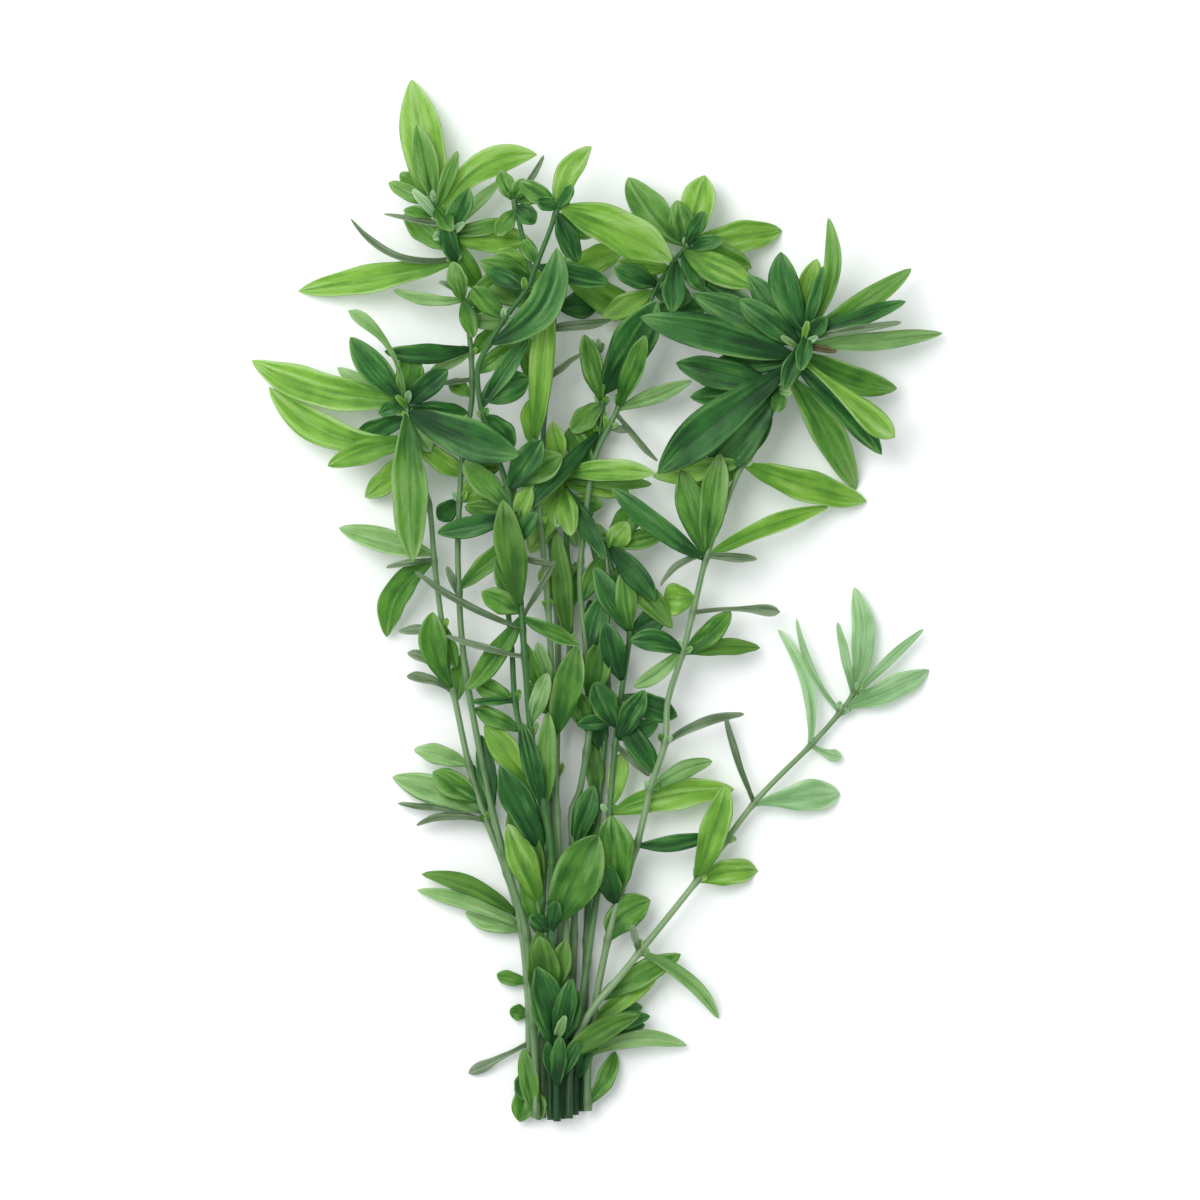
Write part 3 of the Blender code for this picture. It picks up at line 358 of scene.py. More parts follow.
        Leaf((846, 706), (931, 670), 0.3, 6, bend=-0.5, look="mint", own=True),
        Leaf((812, 746), (779, 630), 1.5, 3.2, bend=-3.2, look="mint", own=True),
        Leaf((757, 801), (840, 795), 0.3, 8, bend=0.6, widest=0.68, look="mint", own=True),
        Leaf((700, 878), (761, 872), 0.3, 6.6, bend=1, look="bright", own=True),
        Leaf((700, 877), (727, 785), 6, 7.2, bend=-0.5, look="bright"),
        Leaf((856, 693), (838, 622), 2, 2.2, look="mint"),
        Leaf((856, 692), (924, 631), 2, 2.4, bend=0.5, look="mint"),
        Leaf((842, 712), (798, 618), 2, 1.8, bend=2.2, roll=25, look="mint"),
        Leaf((812, 746), (842, 757), 1.5, 3, bend=-0.6, widest=0.75, look="mint"),
        Leaf((756, 802), (726, 715), 2, 1.8, bend=0.7, roll=25, look="grey"),
        Leaf((641, 951), (632, 925), 8, 1.6, look="grey"),
        Leaf((640, 952), (719, 1020), 1, 3.6, bend=2.5, look="pale"),
    ],
}

# %% [markdown]
# Some hundred more small leaves fill the middle of the bunch. The solids leave them out, because they would
# only cost triangles there: each lies among stems and leaves that reach further than it does.

# %% The small leaves in the middle
INNER = {
    "tall": [
        Leaf((448, 234), (512, 222), 10, 4),
        Leaf((463, 300), (453, 262), 15, 5),
        Leaf((457, 262), (446, 226), 16, 5, look="dark"),
        Leaf((436, 209), (453, 232), 17, 4.6),
        # These three mint leaves are young leaves and also a painted highlight: whitish flecks for glints of
        # light in the rosette.
        Leaf((447, 236), (466, 223), 19, 1.8, look="mint"),
        Leaf((446, 233), (434, 240), 17, 2.4, look="mint"),
        Leaf((440, 217), (413, 190), 16, 2.4, look="mint"),
        Leaf((463, 300), (474, 338), 14, 4.4),
        Leaf((468, 325), (500, 296), 7, 6, look="olive"),
        Leaf((470, 352), (493, 330), 8, 4),
        Leaf((462, 470), (500, 466), 9, 5),
        Leaf((531, 992), (541, 925), 9, 4.6, look="olive"),
        Leaf((472, 395), (450, 381), 9, 4),
        Leaf((464, 305), (507, 272), 8, 6),
        Leaf((492, 810), (481, 735), 8, 4.6, look="dark"),
    ],
    "left": [
        Leaf((442, 626), (456, 668), 9, 3.4),
        Leaf((410, 424), (431, 452), 11, 4.6, look="pale"),
        Leaf((484, 815), (471, 764), 6, 3.4, look="dark"),
        Leaf((532, 1085), (520, 1123), 4, 6),
        Leaf((532, 1070), (524, 1102), 5, 6, look="dark"),
        Leaf((532, 1085), (540, 1122), 5, 5.4),
        Leaf((408, 410), (468, 413), 13, 4.6, look="dark"),
        Leaf((406, 404), (391, 373), 14, 4, look="dark"),
        Leaf((406, 404), (427, 376), 14, 4.2),
        Leaf((406, 404), (379, 414), 13, 3.8, look="dark"),
        # These two tiny leaves are partly a painted highlight: pale flecks for glints of light at the joint.
        Leaf((406, 404), (410, 391), 17, 1.6, look="mint"),
        Leaf((406, 405), (397, 396), 17, 1.5, look="bright"),
        Leaf((456, 702), (463, 655), 9, 4.4),
    ],
    "dark": [
        Leaf((558, 209), (520, 184), 22, 5),
        Leaf((538, 264), (522, 240), 19, 4),
        Leaf((511, 512), (465, 507), 12, 4.6, look="olive"),
        Leaf((512, 528), (530, 486), 14, 5, look="bright"),
        Leaf((512, 532), (503, 512), 16, 2.6, look="pale"),
        Leaf((524, 645), (541, 690), 12, 4),
        Leaf((530, 725), (548, 672), 12, 4.6, look="pale"),
        Leaf((521, 612), (497, 560), 14, 5),
        Leaf((556, 216), (592, 238), 20, 5),
        Leaf((510, 505), (463, 462), 13, 6.4),
        Leaf((478, 372), (516, 345), 17, 5),
        Leaf((554, 1000), (539, 936), 11, 7.4, look="olive"),
        Leaf((552, 990), (566, 940), 11, 5.4, look="olive"),
        Leaf((584, 1040), (537, 966), 12, 8, bend=-1, look="dark"),
        Leaf((582, 1046), (572, 978), 12, 5.6, look="dark"),
        Leaf((555, 1045), (536, 985), 11, 6, look="dark"),
        Leaf((555, 1045), (578, 990), 11, 6, look="dark"),
        Leaf((559, 1082), (547, 1042), 9, 3.6, look="dark"),
        Leaf((562, 1084), (560, 1036), 10, 4.2, look="dark"),
        Leaf((565, 1082), (582, 1036), 9, 3.8, look="dark"),
        Leaf((558, 1064), (640, 1014), 11, 5.6, bend=1.5, look="olive"),
        Leaf((551, 930), (530, 915), 12, 4.4, look="dark"),
        Leaf((551, 930), (556, 900), 12, 4, look="dark"),
        Leaf((555, 1040), (565, 1016), 12, 2.4, look="pale"),
    ],
    "bright": [
        Leaf((516, 212), (497, 236), 14, 4.6),
        Leaf((536, 300), (489, 290), 12, 6.4, look="olive"),
        Leaf((534, 445), (512, 478), 10, 5, look="bright"),
        Leaf((534, 445), (529, 400), 12, 5, look="bright"),
        Leaf((514, 203), (548, 190), 16, 5),
    ],
    "star": [
        Leaf((564, 500), (603, 505), 6, 5),
        Leaf((563, 480), (652, 484), 6, 4),
        Leaf((562, 466), (552, 422), 9, 5, look="bright"),
        Leaf((563, 482), (531, 547), 12, 7, look="bright"),
        Leaf((564, 486), (571, 536), 12, 5.6, look="bright"),
        Leaf((564, 500), (556, 528), 14, 2.4, look="pale"),
    ],
    "back": [
        Leaf((557, 620), (580, 560), 4, 6),
        Leaf((556, 305), (600, 302), 4, 7, look="dark"),
    ],
    "upper_right": [
        Leaf((655, 292), (692, 298), 9, 6, look="dark"),
        Leaf((688, 245), (752, 268), 8, 7),
        Leaf((687, 246), (677, 200), 9, 6),
        Leaf((580, 600), (603, 556), 7, 5),
        Leaf((585, 650), (603, 596), 7, 6.4, look="dark"),
        Leaf((589, 730), (573, 690), 8, 6),
        Leaf((670, 268), (618, 262), 12, 6, look="bright"),
        Leaf((590, 705), (600, 640), 8, 7),
    ],
    "inner": [
        Leaf((601, 402), (584, 440), 3, 5, look="bright"),
        Leaf((588, 525), (606, 545), 5, 4.6, look="pale"),
        Leaf((608, 660), (590, 600), 5, 6, look="dark"),
        Leaf((603, 750), (590, 700), 5, 6, look="dark"),
        Leaf((596, 855), (582, 815), 4, 5, look="dark"),
        Leaf((601, 402), (571, 432), 4, 6),
        Leaf((601, 800), (592, 735), 5, 5, look="olive"),
    ],
    "right": [
        Leaf((779, 392), (776, 413), 17, 4),
        Leaf((801, 346), (783, 390), 18, 5, look="dark"),
        Leaf((806, 334), (800, 372), 19, 4, look="dark"),
        Leaf((803, 341), (826, 318), 18, 4.4, look="dark"),
        Leaf((772, 412), (746, 455), 12, 5, look="dark"),
        Leaf((618, 902), (604, 864), 14, 6, look="dark"),
        Leaf((592, 1028), (650, 1017), 3, 4.4, look="dark"),
        Leaf((704, 556), (661, 586), 11, 2.2, bend=-1.6, roll=40, look="grey"),
        Leaf((801, 346), (738, 300), 12, 7, look="dark"),
        Leaf((793, 362), (712, 364), 12, 7, look="dark"),
        Leaf((766, 428), (695, 492), 9, 8.4),
        Leaf((801, 346), (692, 294), 11, 8.4, look="dark"),
        # These four tiny leaves are partly a painted highlight: pale flecks for glints of light in the
        # rosette's middle.
        Leaf((801, 342), (807, 322), 20, 1.5, look="bright"),
        Leaf((797, 348), (780, 337), 20, 1.5, look="pale"),
        Leaf((803, 344), (817, 337), 20, 1.4, look="mint"),
        Leaf((779, 392), (791, 394), 18, 1.6, look="pale"),
    ],
    "hub": [
        Leaf((609, 550), (628, 522), 9, 6, look="bright"),
        Leaf((624, 680), (604, 622), 9, 6.4, look="dark"),
        Leaf((616, 738), (658, 724), 8, 5, look="dark"),
        Leaf((608, 545), (640, 502), 9, 6.4),
        Leaf((618, 728), (594, 682), 9, 7, look="dark"),
        Leaf((581, 1080), (589, 1040), 8, 4, look="dark"),
    ],
    "low": [
        Leaf((515, 702), (474, 682), 10, 5),
        Leaf((514, 730), (474, 708), 10, 4.6),
        Leaf((541, 935), (524, 868), 8, 5),
    ],
    "side": [
        Leaf((573, 1050), (602, 1036), 10, 5),
    ],
}
counts = [sum(len(group) for group in plan.values()) for plan in (LEAVES, INNER)]
print("stems:", len(STEMS), "leaves:", counts[0], "and", counts[1], "in the middle")

# %% [markdown]
# ## From the plan to curves in space
# A stem isn't straight: it bows and leans between its joints. A Catmull-Rom curve is a good way to draw
# it, because it passes through every place of the plan and turns smoothly. Blender's own curve objects
# could do it too, but numbers in an array can be asked where the stem is at any distance, which the leaves
# need.

# %% Places, directions and stems
STEM_RADIUS = 0.92 * MM
TIP_RADIUS = 0.55 * MM
JOINT_REACH = 3.0 * MM
BARE_JOINT_STEP = 24 * MM
ROUTE_SAMPLES = 12
UP = np.array([0, 0, 1.0])


def spot(x, y, height):
    """The place in metres of a photo pixel: a quarter of a millimetre for each pixel from the middle."""
    return np.array([(x - MIDDLE_PX[0]) * PIXEL, (MIDDLE_PX[1] - y) * PIXEL, height * MM])


def unit(vectors):
    """Vectors of length one: each divided by the root of the sum of its squares."""
    return vectors / np.linalg.norm(vectors, axis=-1, keepdims=True)


def ease(low, high, value):
    """0 up to low and 1 from high on, with the smooth step 3t^2 - 2t^3 between. low may be above high."""
    t = np.clip((value - low) / (high - low), 0, 1)
    return t * t * (3 - 2 * t)


class Stem:
    """A smooth route through the places of the plan, and the joints along it."""

    def __init__(self, route, leaves):
        points = np.array([spot(*place) for place in route])
        points = np.vstack([2 * points[0] - points[1], points, 2 * points[-1] - points[-2]])
        a, b, c, d = (points[k : len(points) - 3 + k, None] for k in range(4))
        t = np.linspace(0, 1, ROUTE_SAMPLES, endpoint=False)[:, None]
        # Half of 2b + (c - a)t + (2a - 5b + 4c - d)t^2 + (3b - a - 3c + d)t^3 goes from b to c.
        arcs = (2 * b + (c - a) * t + (2 * a - 5 * b + 4 * c - d) * t**2 + (3 * b - a - 3 * c + d) * t**3) / 2
        self.path = np.vstack([arcs.reshape(-1, 3), points[-2]])
        self.along = np.concatenate([[0], np.cumsum(np.linalg.norm(np.diff(self.path, axis=0), axis=1))])
        self.joints = self.find_joints(leaves)

    def nearest(self, x, y):
        """The distance along the stem of the point that lies nearest to a pixel, seen from above."""
        return self.along[np.argmin(np.linalg.norm((self.path - spot(x, y, 0))[:, :2], axis=1))]

    def at(self, distance):
        """The point at a distance: each coordinate interpolated along the route."""
        return np.stack([np.interp(distance, self.along, self.path[:, axis]) for axis in range(3)], axis=-1)

    def heading(self, distance):
        """The direction of the stem: from a little before a distance to a little after it."""
        return unit(self.at(distance + JOINT_REACH) - self.at(distance - JOINT_REACH))

    def find_joints(self, leaves):
        """A joint where leaves grow, and one for each 24 mm or so of bare stem."""
        joints = []
        for place in sorted(self.nearest(*leaf.at) for leaf in leaves):
            if not joints or place - joints[-1] > 2 * JOINT_REACH:
                joints.append(place)
        marks = [0.0] + joints
        for low, high in zip(marks, marks[1:]):
            count = int((high - low) / BARE_JOINT_STEP)
            joints += [low + (high - low) * (k + 1) / (count + 1) for k in range(count)]
        return np.array(sorted(joints))


stems = {name: Stem(route, LEAVES[name]) for name, route in STEMS.items()}
print("longest stem:", round(max(stem.along[-1] for stem in stems.values()) * 1000), "mm")
print("joints:", sum(len(stem.joints) for stem in stems.values()))

# %% [markdown]
# In the pile, a leaf comes to rest on what lies under it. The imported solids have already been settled, so
# the height of each leaf's tip is read from them: it is the middle height of the solid's corners that lie
# right at the tip, seen from above.

# %% The height of a leaf's tip
TIP_SEARCH = 0.5 * MM


def corners(node):
    """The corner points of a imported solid, in metres."""
    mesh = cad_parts[node].data
    places = np.empty(len(mesh.vertices) * 3)
    mesh.vertices.foreach_get("co", places)
    return places.reshape(-1, 3)


def resting_height(leaf, solid):
    """The median height of the solid's corners within half a millimetre of the tip, seen from above."""
    away = np.linalg.norm((solid - spot(*leaf.to, 0))[:, :2], axis=1)
    close = solid[away < TIP_SEARCH, 2]
    return np.median(close) if len(close) else leaf.high * MM


heights = {}
nodes = {}
for name, group in LEAVES.items():
    own = 0
    for number, leaf in enumerate(group):
        own += leaf.own
        nodes[name, number] = f"leaf_{name}_{own}" if leaf.own else f"stem_{name}"
        heights[name, number] = resting_height(leaf, corners(nodes[name, number]))
moved = [abs(heights[key] / MM - LEAVES[key[0]][key[1]].high) for key in heights]
print("tips off their planned height by over 2 mm:", sum(gap > 2 for gap in moved), "of", len(moved))

# %% [markdown]
# ## One way to make every mesh
# A leaf and a stem are both a closed profile that is carried along a path: a flat lens for a leaf and a
# circle for a stem. So both come as a grid of points, with rows along the path and columns round the
# profile. One function joins such grids into a mesh, closes their ends, and gives the mesh a UV map whose
# U runs along the piece and V across it, so that a pattern can follow the piece wherever it turns.

# %% A piece from grids of points
def ring_faces(rows, columns):
    """Corner numbers of the squares between rows, first in the points and then in the map.

    The points close up round the profile, so the last column's neighbour is column 0. The map doesn't: it
    has one column more, so that a pattern doesn't run backwards across the seam."""
    row, column = np.meshgrid(np.arange(rows - 1), np.arange(columns), indexing="ij")
    corner_rows = np.stack([row, row + 1, row + 1, row], axis=-1).reshape(-1, 4)
    corner_columns = np.stack([column, column, column + 1, column + 1], axis=-1).reshape(-1, 4)
    return (
        corner_rows * columns + corner_columns % columns,
        corner_rows * (columns + 1) + corner_columns,
    )


def make_piece(name, grids, finish, stands_for):
    """A mesh object from grids. A grid is its points, its map with one column more, and values by name."""
    places, faces, uvs, values = [], [], [], {}
    count = 0
    for points, chart, extras in grids:
        rows, columns = points.shape[:2]
        quads, map_quads = ring_faces(rows, columns)
        first, last = np.arange(columns), np.arange(columns) + (rows - 1) * columns
        faces += (quads + count).tolist() + [(first + count).tolist(), (last[::-1] + count).tolist()]
        chart = chart.reshape(-1, 2)
        ends = [chart[:columns], chart[(rows - 1) * (columns + 1) :][:columns][::-1]]
        uvs += [chart[map_quads.ravel()], *ends]
        places.append(points.reshape(-1, 3))
        for key, value in extras.items():
            values.setdefault(key, []).append(np.broadcast_to(value, points.shape[:2]).ravel())
        count += rows * columns
    mesh = bpy.data.meshes.new(name)
    mesh.from_pydata(np.concatenate(places), [], faces)
    mesh.uv_layers.new(name="leafmap").data.foreach_set("uv", np.concatenate(uvs).ravel())
    for key, parts in values.items():
        mesh.attributes.new(key, "FLOAT", "POINT").data.foreach_set("value", np.concatenate(parts))
    mesh.shade_smooth()
    mesh.materials.append(finish)
    piece = bpy.data.objects.new(name, mesh)
    bpy.context.scene.collection.objects.link(piece)
    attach(piece, "root")
    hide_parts(stands_for)
    return piece


print("squares between 3 rows of 4 columns:", len(ring_faces(3, 4)[0]))

# %% [markdown]
# ## The shape of a leaf
# A hygrophila leaf is a lance: a short stalk, a blade that is widest near its middle, and a blunt point.
# It arches a little, its two halves rise from the midrib like a shallow keel, and its edge waves. Each of
# these is one term of a formula in two numbers: u runs from the joint to the tip, and v from -1 at one edge
# over 0 at the midrib to 1 at the other.

# %% The midrib's line and the blade's width
STALK_WIDTH = 1.3 * MM
BLUNT_TIP = 1.0 * MM
FULL_BASE = 0.50
FULL_TIP = 0.74
KEEL_RISE = 0.16
LEAF_ARCH = 0.07
TABLE_GAP = 0.12 * MM


def blade_width(leaf, u):
    """Half the leaf's width at u.

    The blade is wide times the sine of pi times u to a power that puts its peak at widest. A second power,
    from FULL_BASE to FULL_TIP, makes it fuller, and the base more so than the tip. The stalk
    and the blunt tip are added to it as squares, and the last 5 percent round off like an ellipse."""
    power = math.log(0.5) / math.log(leaf.widest)
    lance = np.sin(np.pi * np.clip(u, 0, 1) ** power).clip(0) ** (FULL_BASE + (FULL_TIP - FULL_BASE) * u)
    blade = leaf.wide * MM * lance * (0.82 + 0.18 * ease(0, 0.2, u))
    half = np.sqrt(blade**2 + STALK_WIDTH**2 * (1 - u) ** 2 + BLUNT_TIP**2 * u) / 2
    return half * np.sqrt(1 - np.clip((u - 0.95) / 0.0505, 0, 1) ** 2)


def leaf_line(leaf, stem, tip_height, u, twist):
    """The midrib's points at u, and the directions across the blade and out of its upper face.

    The midrib is the straight line from the stem's skin to the tip, plus a swing to the side and an arch
    upwards that are both 4u(1 - u) of their largest. The blade is rolled about it, and twists on its way."""
    joint = stem.nearest(*leaf.at)
    start, along = stem.at(joint), stem.heading(joint)
    tip = np.array([*spot(*leaf.to, 0)[:2], tip_height])
    outwards = unit(tip - start - np.dot(tip - start, along) * along)
    start = start + outwards * STEM_RADIUS / 2
    chord = tip - start
    lift = leaf.bend * MM * unit(np.cross(UP, chord)) + LEAF_ARCH * np.linalg.norm(chord) * UP
    u = u[:, None]
    line = start + chord * u + 4 * u * (1 - u) * lift
    heading = unit(chord + 4 * (1 - 2 * u) * lift)
    flat = unit(np.cross(UP, heading))
    top = np.cross(heading, flat)
    angle = np.radians(leaf.roll + twist * (u - 0.5))
    return line, flat * np.cos(angle) + top * np.sin(angle), top * np.cos(angle) - flat * np.sin(angle)


sample = LEAVES["tall"][2]
widths = 2 * blade_width(sample, np.linspace(0, 1, 5)) / MM
print("widths of one leaf from stalk to tip, mm:", widths.round(1))

# %% [markdown]
# The blade has a real thickness. It is thickest at the midrib, which stands out as a round rib underneath
# and is a groove on top, and it thins to nothing at the edge. Near the stem the same profile becomes the
# stalk. The side veins leave the midrib at a slant towards the tip, and the blade puckers very slightly
# between them. The profile has more columns near the midrib and near the edge, where its form changes
# fastest. The leaves at the top of the bunch are young, so they are paler. YOUNG says where this begins and
# where it is complete, in millimetres above the middle of the bunch.

# %% The skin of a leaf
BLADE_THICKNESS = 0.2 * MM
STALK_THICKNESS = 0.85 * MM
RIB_HEIGHT = 0.28 * MM
GROOVE_DEPTH = 0.1 * MM
PUCKER = 0.035 * MM
VEIN_SLANT = 0.26
YOUNG = (60, 125)
YOUNG_SHADE = 0.7
FULL_TURN = 6.3
LARGE_ROWS = 42
SMALL_ROWS = 22
BUD_ROWS = 9
LARGE_HALF = [0, 0.06, 0.17, 0.36, 0.58, 0.8, 0.94]
SMALL_HALF = [0, 0.1, 0.45, 0.82]


def profile(half):
    """v and side round the leaf: over the top from -1 to 1 and back underneath. side is 0 at the edges."""
    top = np.concatenate([-np.array(half[:0:-1]), half])
    v = np.concatenate([[-1], top, [1], top[::-1]])
    side = np.concatenate([[0], np.ones(len(top)), [0], -np.ones(len(top))])
    return v, side


def leaf_skin(leaf, stem, tip_height, rows, chance):
    """The grid of a leaf's skin with a number of rows, its map, and its shade.

    A point is the midrib's, plus v half-widths across, plus an offset out of the face. The offset is the
    keel |v|, the wave of the edge v^2 sin(...), the pucker cos(...) between the veins, and half the
    thickness on either side. The shade is a chance number, less YOUNG_SHADE where the tip lies beyond
    YOUNG."""
    u = np.linspace(0, 1, rows) ** 0.94
    v, side = profile(LARGE_HALF if leaf.own else SMALL_HALF)
    twist, droop = chance.normal(0, 9 if leaf.own else 15), chance.normal(0, 0.5 * MM)
    wave, beat = chance.uniform(0.03, 0.10), chance.uniform(0.9, 2.4)
    shift = chance.uniform(0, FULL_TURN, 2)
    keel = KEEL_RISE * chance.uniform(0.7, 1.4 if leaf.own else 2.4)
    line, across, facing = leaf_line(leaf, stem, tip_height, u, twist)
    half = blade_width(leaf, u)[:, None]
    veins = round(chance.uniform(7, 9))
    u = u[:, None]
    slim = (half / half.max()) ** 2
    phase = np.where(v > 0, shift[0], shift[1])
    swell = wave * half.max() * v**2 * np.sin(FULL_TURN * beat * u + phase)
    pucker = PUCKER * slim * np.cos(2 * np.pi * veins * (u - VEIN_SLANT * np.abs(v))) * (1 - v**2)
    stalk = 1 - ease(0.02, 0.2, u)
    body = (BLADE_THICKNESS + (STALK_THICKNESS - BLADE_THICKNESS) * stalk) * np.sqrt(1 - v**4) / 2
    rib = np.exp(-((v / 0.11) ** 2)) * (1 - u) ** 0.6 * (1 - stalk)
    body = body * side + np.where(side < 0, -RIB_HEIGHT, -GROOVE_DEPTH) * rib
    offset = keel * half * np.abs(v) + swell * slim + pucker + body + droop * ease(0.7, 1, u)
    edge = v * half * (1 + 0.05 * np.sin(beat * 7 * u + phase))
    points = line[:, None] + edge[..., None] * across[:, None] + offset[..., None] * facing[:, None]
    points[..., 2] = np.maximum(points[..., 2], TABLE_GAP + body * (side > 0))
    wrapped = np.append(v, v[0])
    chart = np.stack(np.broadcast_arrays(u, (wrapped + 1) / 2), axis=-1)
    young = ease(*YOUNG, line[-1, 1] / MM)
    return points, chart, {"shade": chance.uniform(0, 1) - YOUNG_SHADE * young, "veins": float(veins)}


first = leaf_skin(sample, stems["tall"], heights["tall", 2], LARGE_ROWS, np.random.default_rng(1))[0]
print("one leaf's grid, rows by columns:", first.shape[:2])
print("its lowest point, mm:", (first[..., 2].min() / MM).round(2))

# %% [markdown]
# ## Writing a finish as sums
# A finish is a net of nodes, and a long one is hard to follow as boxes and wires. Here a socket is wrapped
# in a small class, so that a sum such as 1 - edge adds the Math nodes that it stands for. Colours go
# through Mix nodes, because a Math node would turn them grey.

# %% Sockets that can be added and multiplied
class Wire:
    """A socket of a finish's nodes. Adding, multiplying and so on adds a Math node."""

    def __init__(self, finish, socket):
        self.finish, self.socket = finish, socket

    def math(self, operation, *others, first=None):
        """One Math node of this wire, or of first and this wire, with others."""
        values = ([first] if first is not None else []) + [self, *others]
        settings = {"operation": operation}
        return self.finish.add("ShaderNodeMath", settings, dict(enumerate(values)), "Value")

    def __add__(self, other):
        return self.math("ADD", other)

    __radd__ = __add__

    def __mul__(self, other):
        return self.math("MULTIPLY", other)

    def __sub__(self, other):
        return self.math("SUBTRACT", other)

    def __rsub__(self, other):
        return self.math("SUBTRACT", first=other)

    def __abs__(self):
        return self.math("ABSOLUTE")

    def step(self, low, high):
        """0 at low and 1 at high, with a smooth step between them. low may be above high."""
        values = {"Value": self, "From Min": low, "From Max": high}
        settings = {"interpolation_type": "SMOOTHSTEP"}
        return self.finish.add("ShaderNodeMapRange", settings, values, "Result")


class Finish:
    """A material in the making."""

    def __init__(self, name):
        self.material = bpy.data.materials.new(name)
        self.material.use_nodes = True
        self.tree = self.material.node_tree
        self.tree.nodes.clear()

    def add(self, kind, settings, values, output):
        """A node of a kind: its settings first, then its sockets' values or wires. Gives one output."""
        node = self.tree.nodes.new(kind)
        for key, value in settings.items():
            setattr(node, key, value)
        for key, value in values.items():
            if isinstance(value, Wire):
                self.tree.links.new(value.socket, node.inputs[key])
            else:
                node.inputs[key].default_value = value
        return Wire(self, node.outputs[output])

    def attribute(self, name):
        """A value that the mesh carries at each of its points."""
        return self.add("ShaderNodeAttribute", {"attribute_name": name}, {}, "Fac")

    def noise(self, scale, detail, place):
        """Soft random values about a half, with scale spots to the metre."""
        values = {"Vector": place, "Scale": scale, "Detail": detail}
        return self.add("ShaderNodeTexNoise", {}, values, "Fac")

    def blend(self, start, end, amount):
        """The colour start where amount is 0, and end where it is 1."""
        start, end = ((*c, 1) if isinstance(c, tuple) else c for c in (start, end))
        settings = {"data_type": "RGBA", "clamp_factor": True}
        return self.add("ShaderNodeMix", settings, {0: amount, 6: start, 7: end}, 2)

    def place(self):
        """Where a point is on the piece, in metres."""
        return self.add("ShaderNodeTexCoord", {}, {}, "Object")

    def close(self, surface):
        """Joins the finished surface to the material's output."""
        output = self.tree.nodes.new("ShaderNodeOutputMaterial")
        self.tree.links.new(surface.socket, output.inputs["Surface"])


trial = Finish("trial")
print("nodes of 1 - u * 2:", len((1 - trial.attribute("u") * 2).finish.tree.nodes))
bpy.data.materials.remove(trial.material)

# %% [markdown]
# ## The finish of a leaf
# A leaf in the photo isn't one green. Its midrib is a thin dark line, and finer veins slant from it to the
# edge. The blade is deeper green beside the midrib and towards the stalk, and paler at the edge and the tip,
# where it is thinnest. It is mottled with painted light and shade, blotches that stand for light coming
# through it and for the shade of the leaves over it, and no two leaves have quite the same shade. The midrib,
# the veins and the streaks are drawn from the leaf's own map, so that they bend with the blade. The mottle
# and a fine grain follow the place in space.
#
# Light also comes through a leaf. So the finish is a mix of two shaders: one for the light that the skin
# sends back, and a Translucent one for the light that arrives from the other side.

# %% A leaf's finish
def leaf_finish(name, deep, blade, pale, glow, through):
    """deep, blade and pale are its colours, glow the colour of light that comes through, and through the
    share of the skin that lets it through."""
    finish = Finish(name)
    chart = finish.add("ShaderNodeUVMap", {"uv_map": "leafmap"}, {}, "UV")
    split = finish.add("ShaderNodeSeparateXYZ", {}, {0: chart}, "X")
    along, across = split, Wire(finish, split.socket.node.outputs["Y"])
    off_rib = abs(across * 2 - 1)
    place = finish.place()
    shade, veins = finish.attribute("shade"), finish.attribute("veins")
    # The cloud is painted light and shade: blotches that stand for light coming through the leaves and for
    # the shade of leaves over them.
    cloud = finish.noise(160, 3, place)
    grain = finish.noise(1400, 2, place)
    # The distance from the nearest side vein, 0 on it and 1 midway between two.
    beat = (along - off_rib * VEIN_SLANT) * veins
    between = abs(beat.math("FRACT") * 2 - 1)
    vein = between.step(0.72, 1) * off_rib.step(1, 0.8)
    rib = off_rib.step(0.1, 0.03) * along.step(1, 0.85)
    near_rib = off_rib.step(0.5, 0.05) * along.step(1, 0.4)
    thin = off_rib.step(0.6, 1.0) * 0.55 + along.step(0.75, 1.0) * 0.5
    base = along.step(0.5, 0.05)
    # Streaks run along the blade. The shade moves the pattern, so that no two leaves share it.
    spots = {"X": along * 1.8 + shade * 50, "Y": across * 6.5 + shade * 31, "Z": shade * 17}
    streak = finish.noise(1, 4, finish.add("ShaderNodeCombineXYZ", {}, spots, "Vector"))
    depth = near_rib * 0.2 + base * 0.75 + shade * 0.5 - 0.08
    depth = depth + (cloud - 0.5) * 2.2 + (streak - 0.5) * 3.4
    colour = finish.blend(blade, deep, depth)
    young = (0.5 - shade) * 0.35
    light = thin + young - base * 0.25
    colour = finish.blend(colour, pale, light + (0.45 - streak) * 3 + (grain - 0.5) * 0.45)
    colour = finish.blend(colour, deep, vein * 0.25)
    dark_rib = tuple(0.55 * channel for channel in deep)
    colour = finish.blend(colour, dark_rib, rib * 0.42)
    height = rib * -1 + vein * -0.5 + grain * 0.3
    bump = {"Strength": 0.35, "Distance": 0.1 * MM, "Height": height}
    normal = finish.add("ShaderNodeBump", {}, bump, "Normal")
    skin = {"Base Color": colour, "Roughness": 0.5 + (cloud - 0.5) * 0.25, "IOR": 1.36, "Normal": normal}
    front = finish.add("ShaderNodeBsdfPrincipled", {}, skin, "BSDF")
    behind = finish.add("ShaderNodeBsdfTranslucent", {}, {"Color": (*glow, 1)}, "BSDF")
    share = (1 - rib * 0.6 - vein * 0.25) * through
    both = finish.add("ShaderNodeMixShader", {}, {0: share, 1: front, 2: behind}, "Shader")
    finish.close(both)
    return finish.material


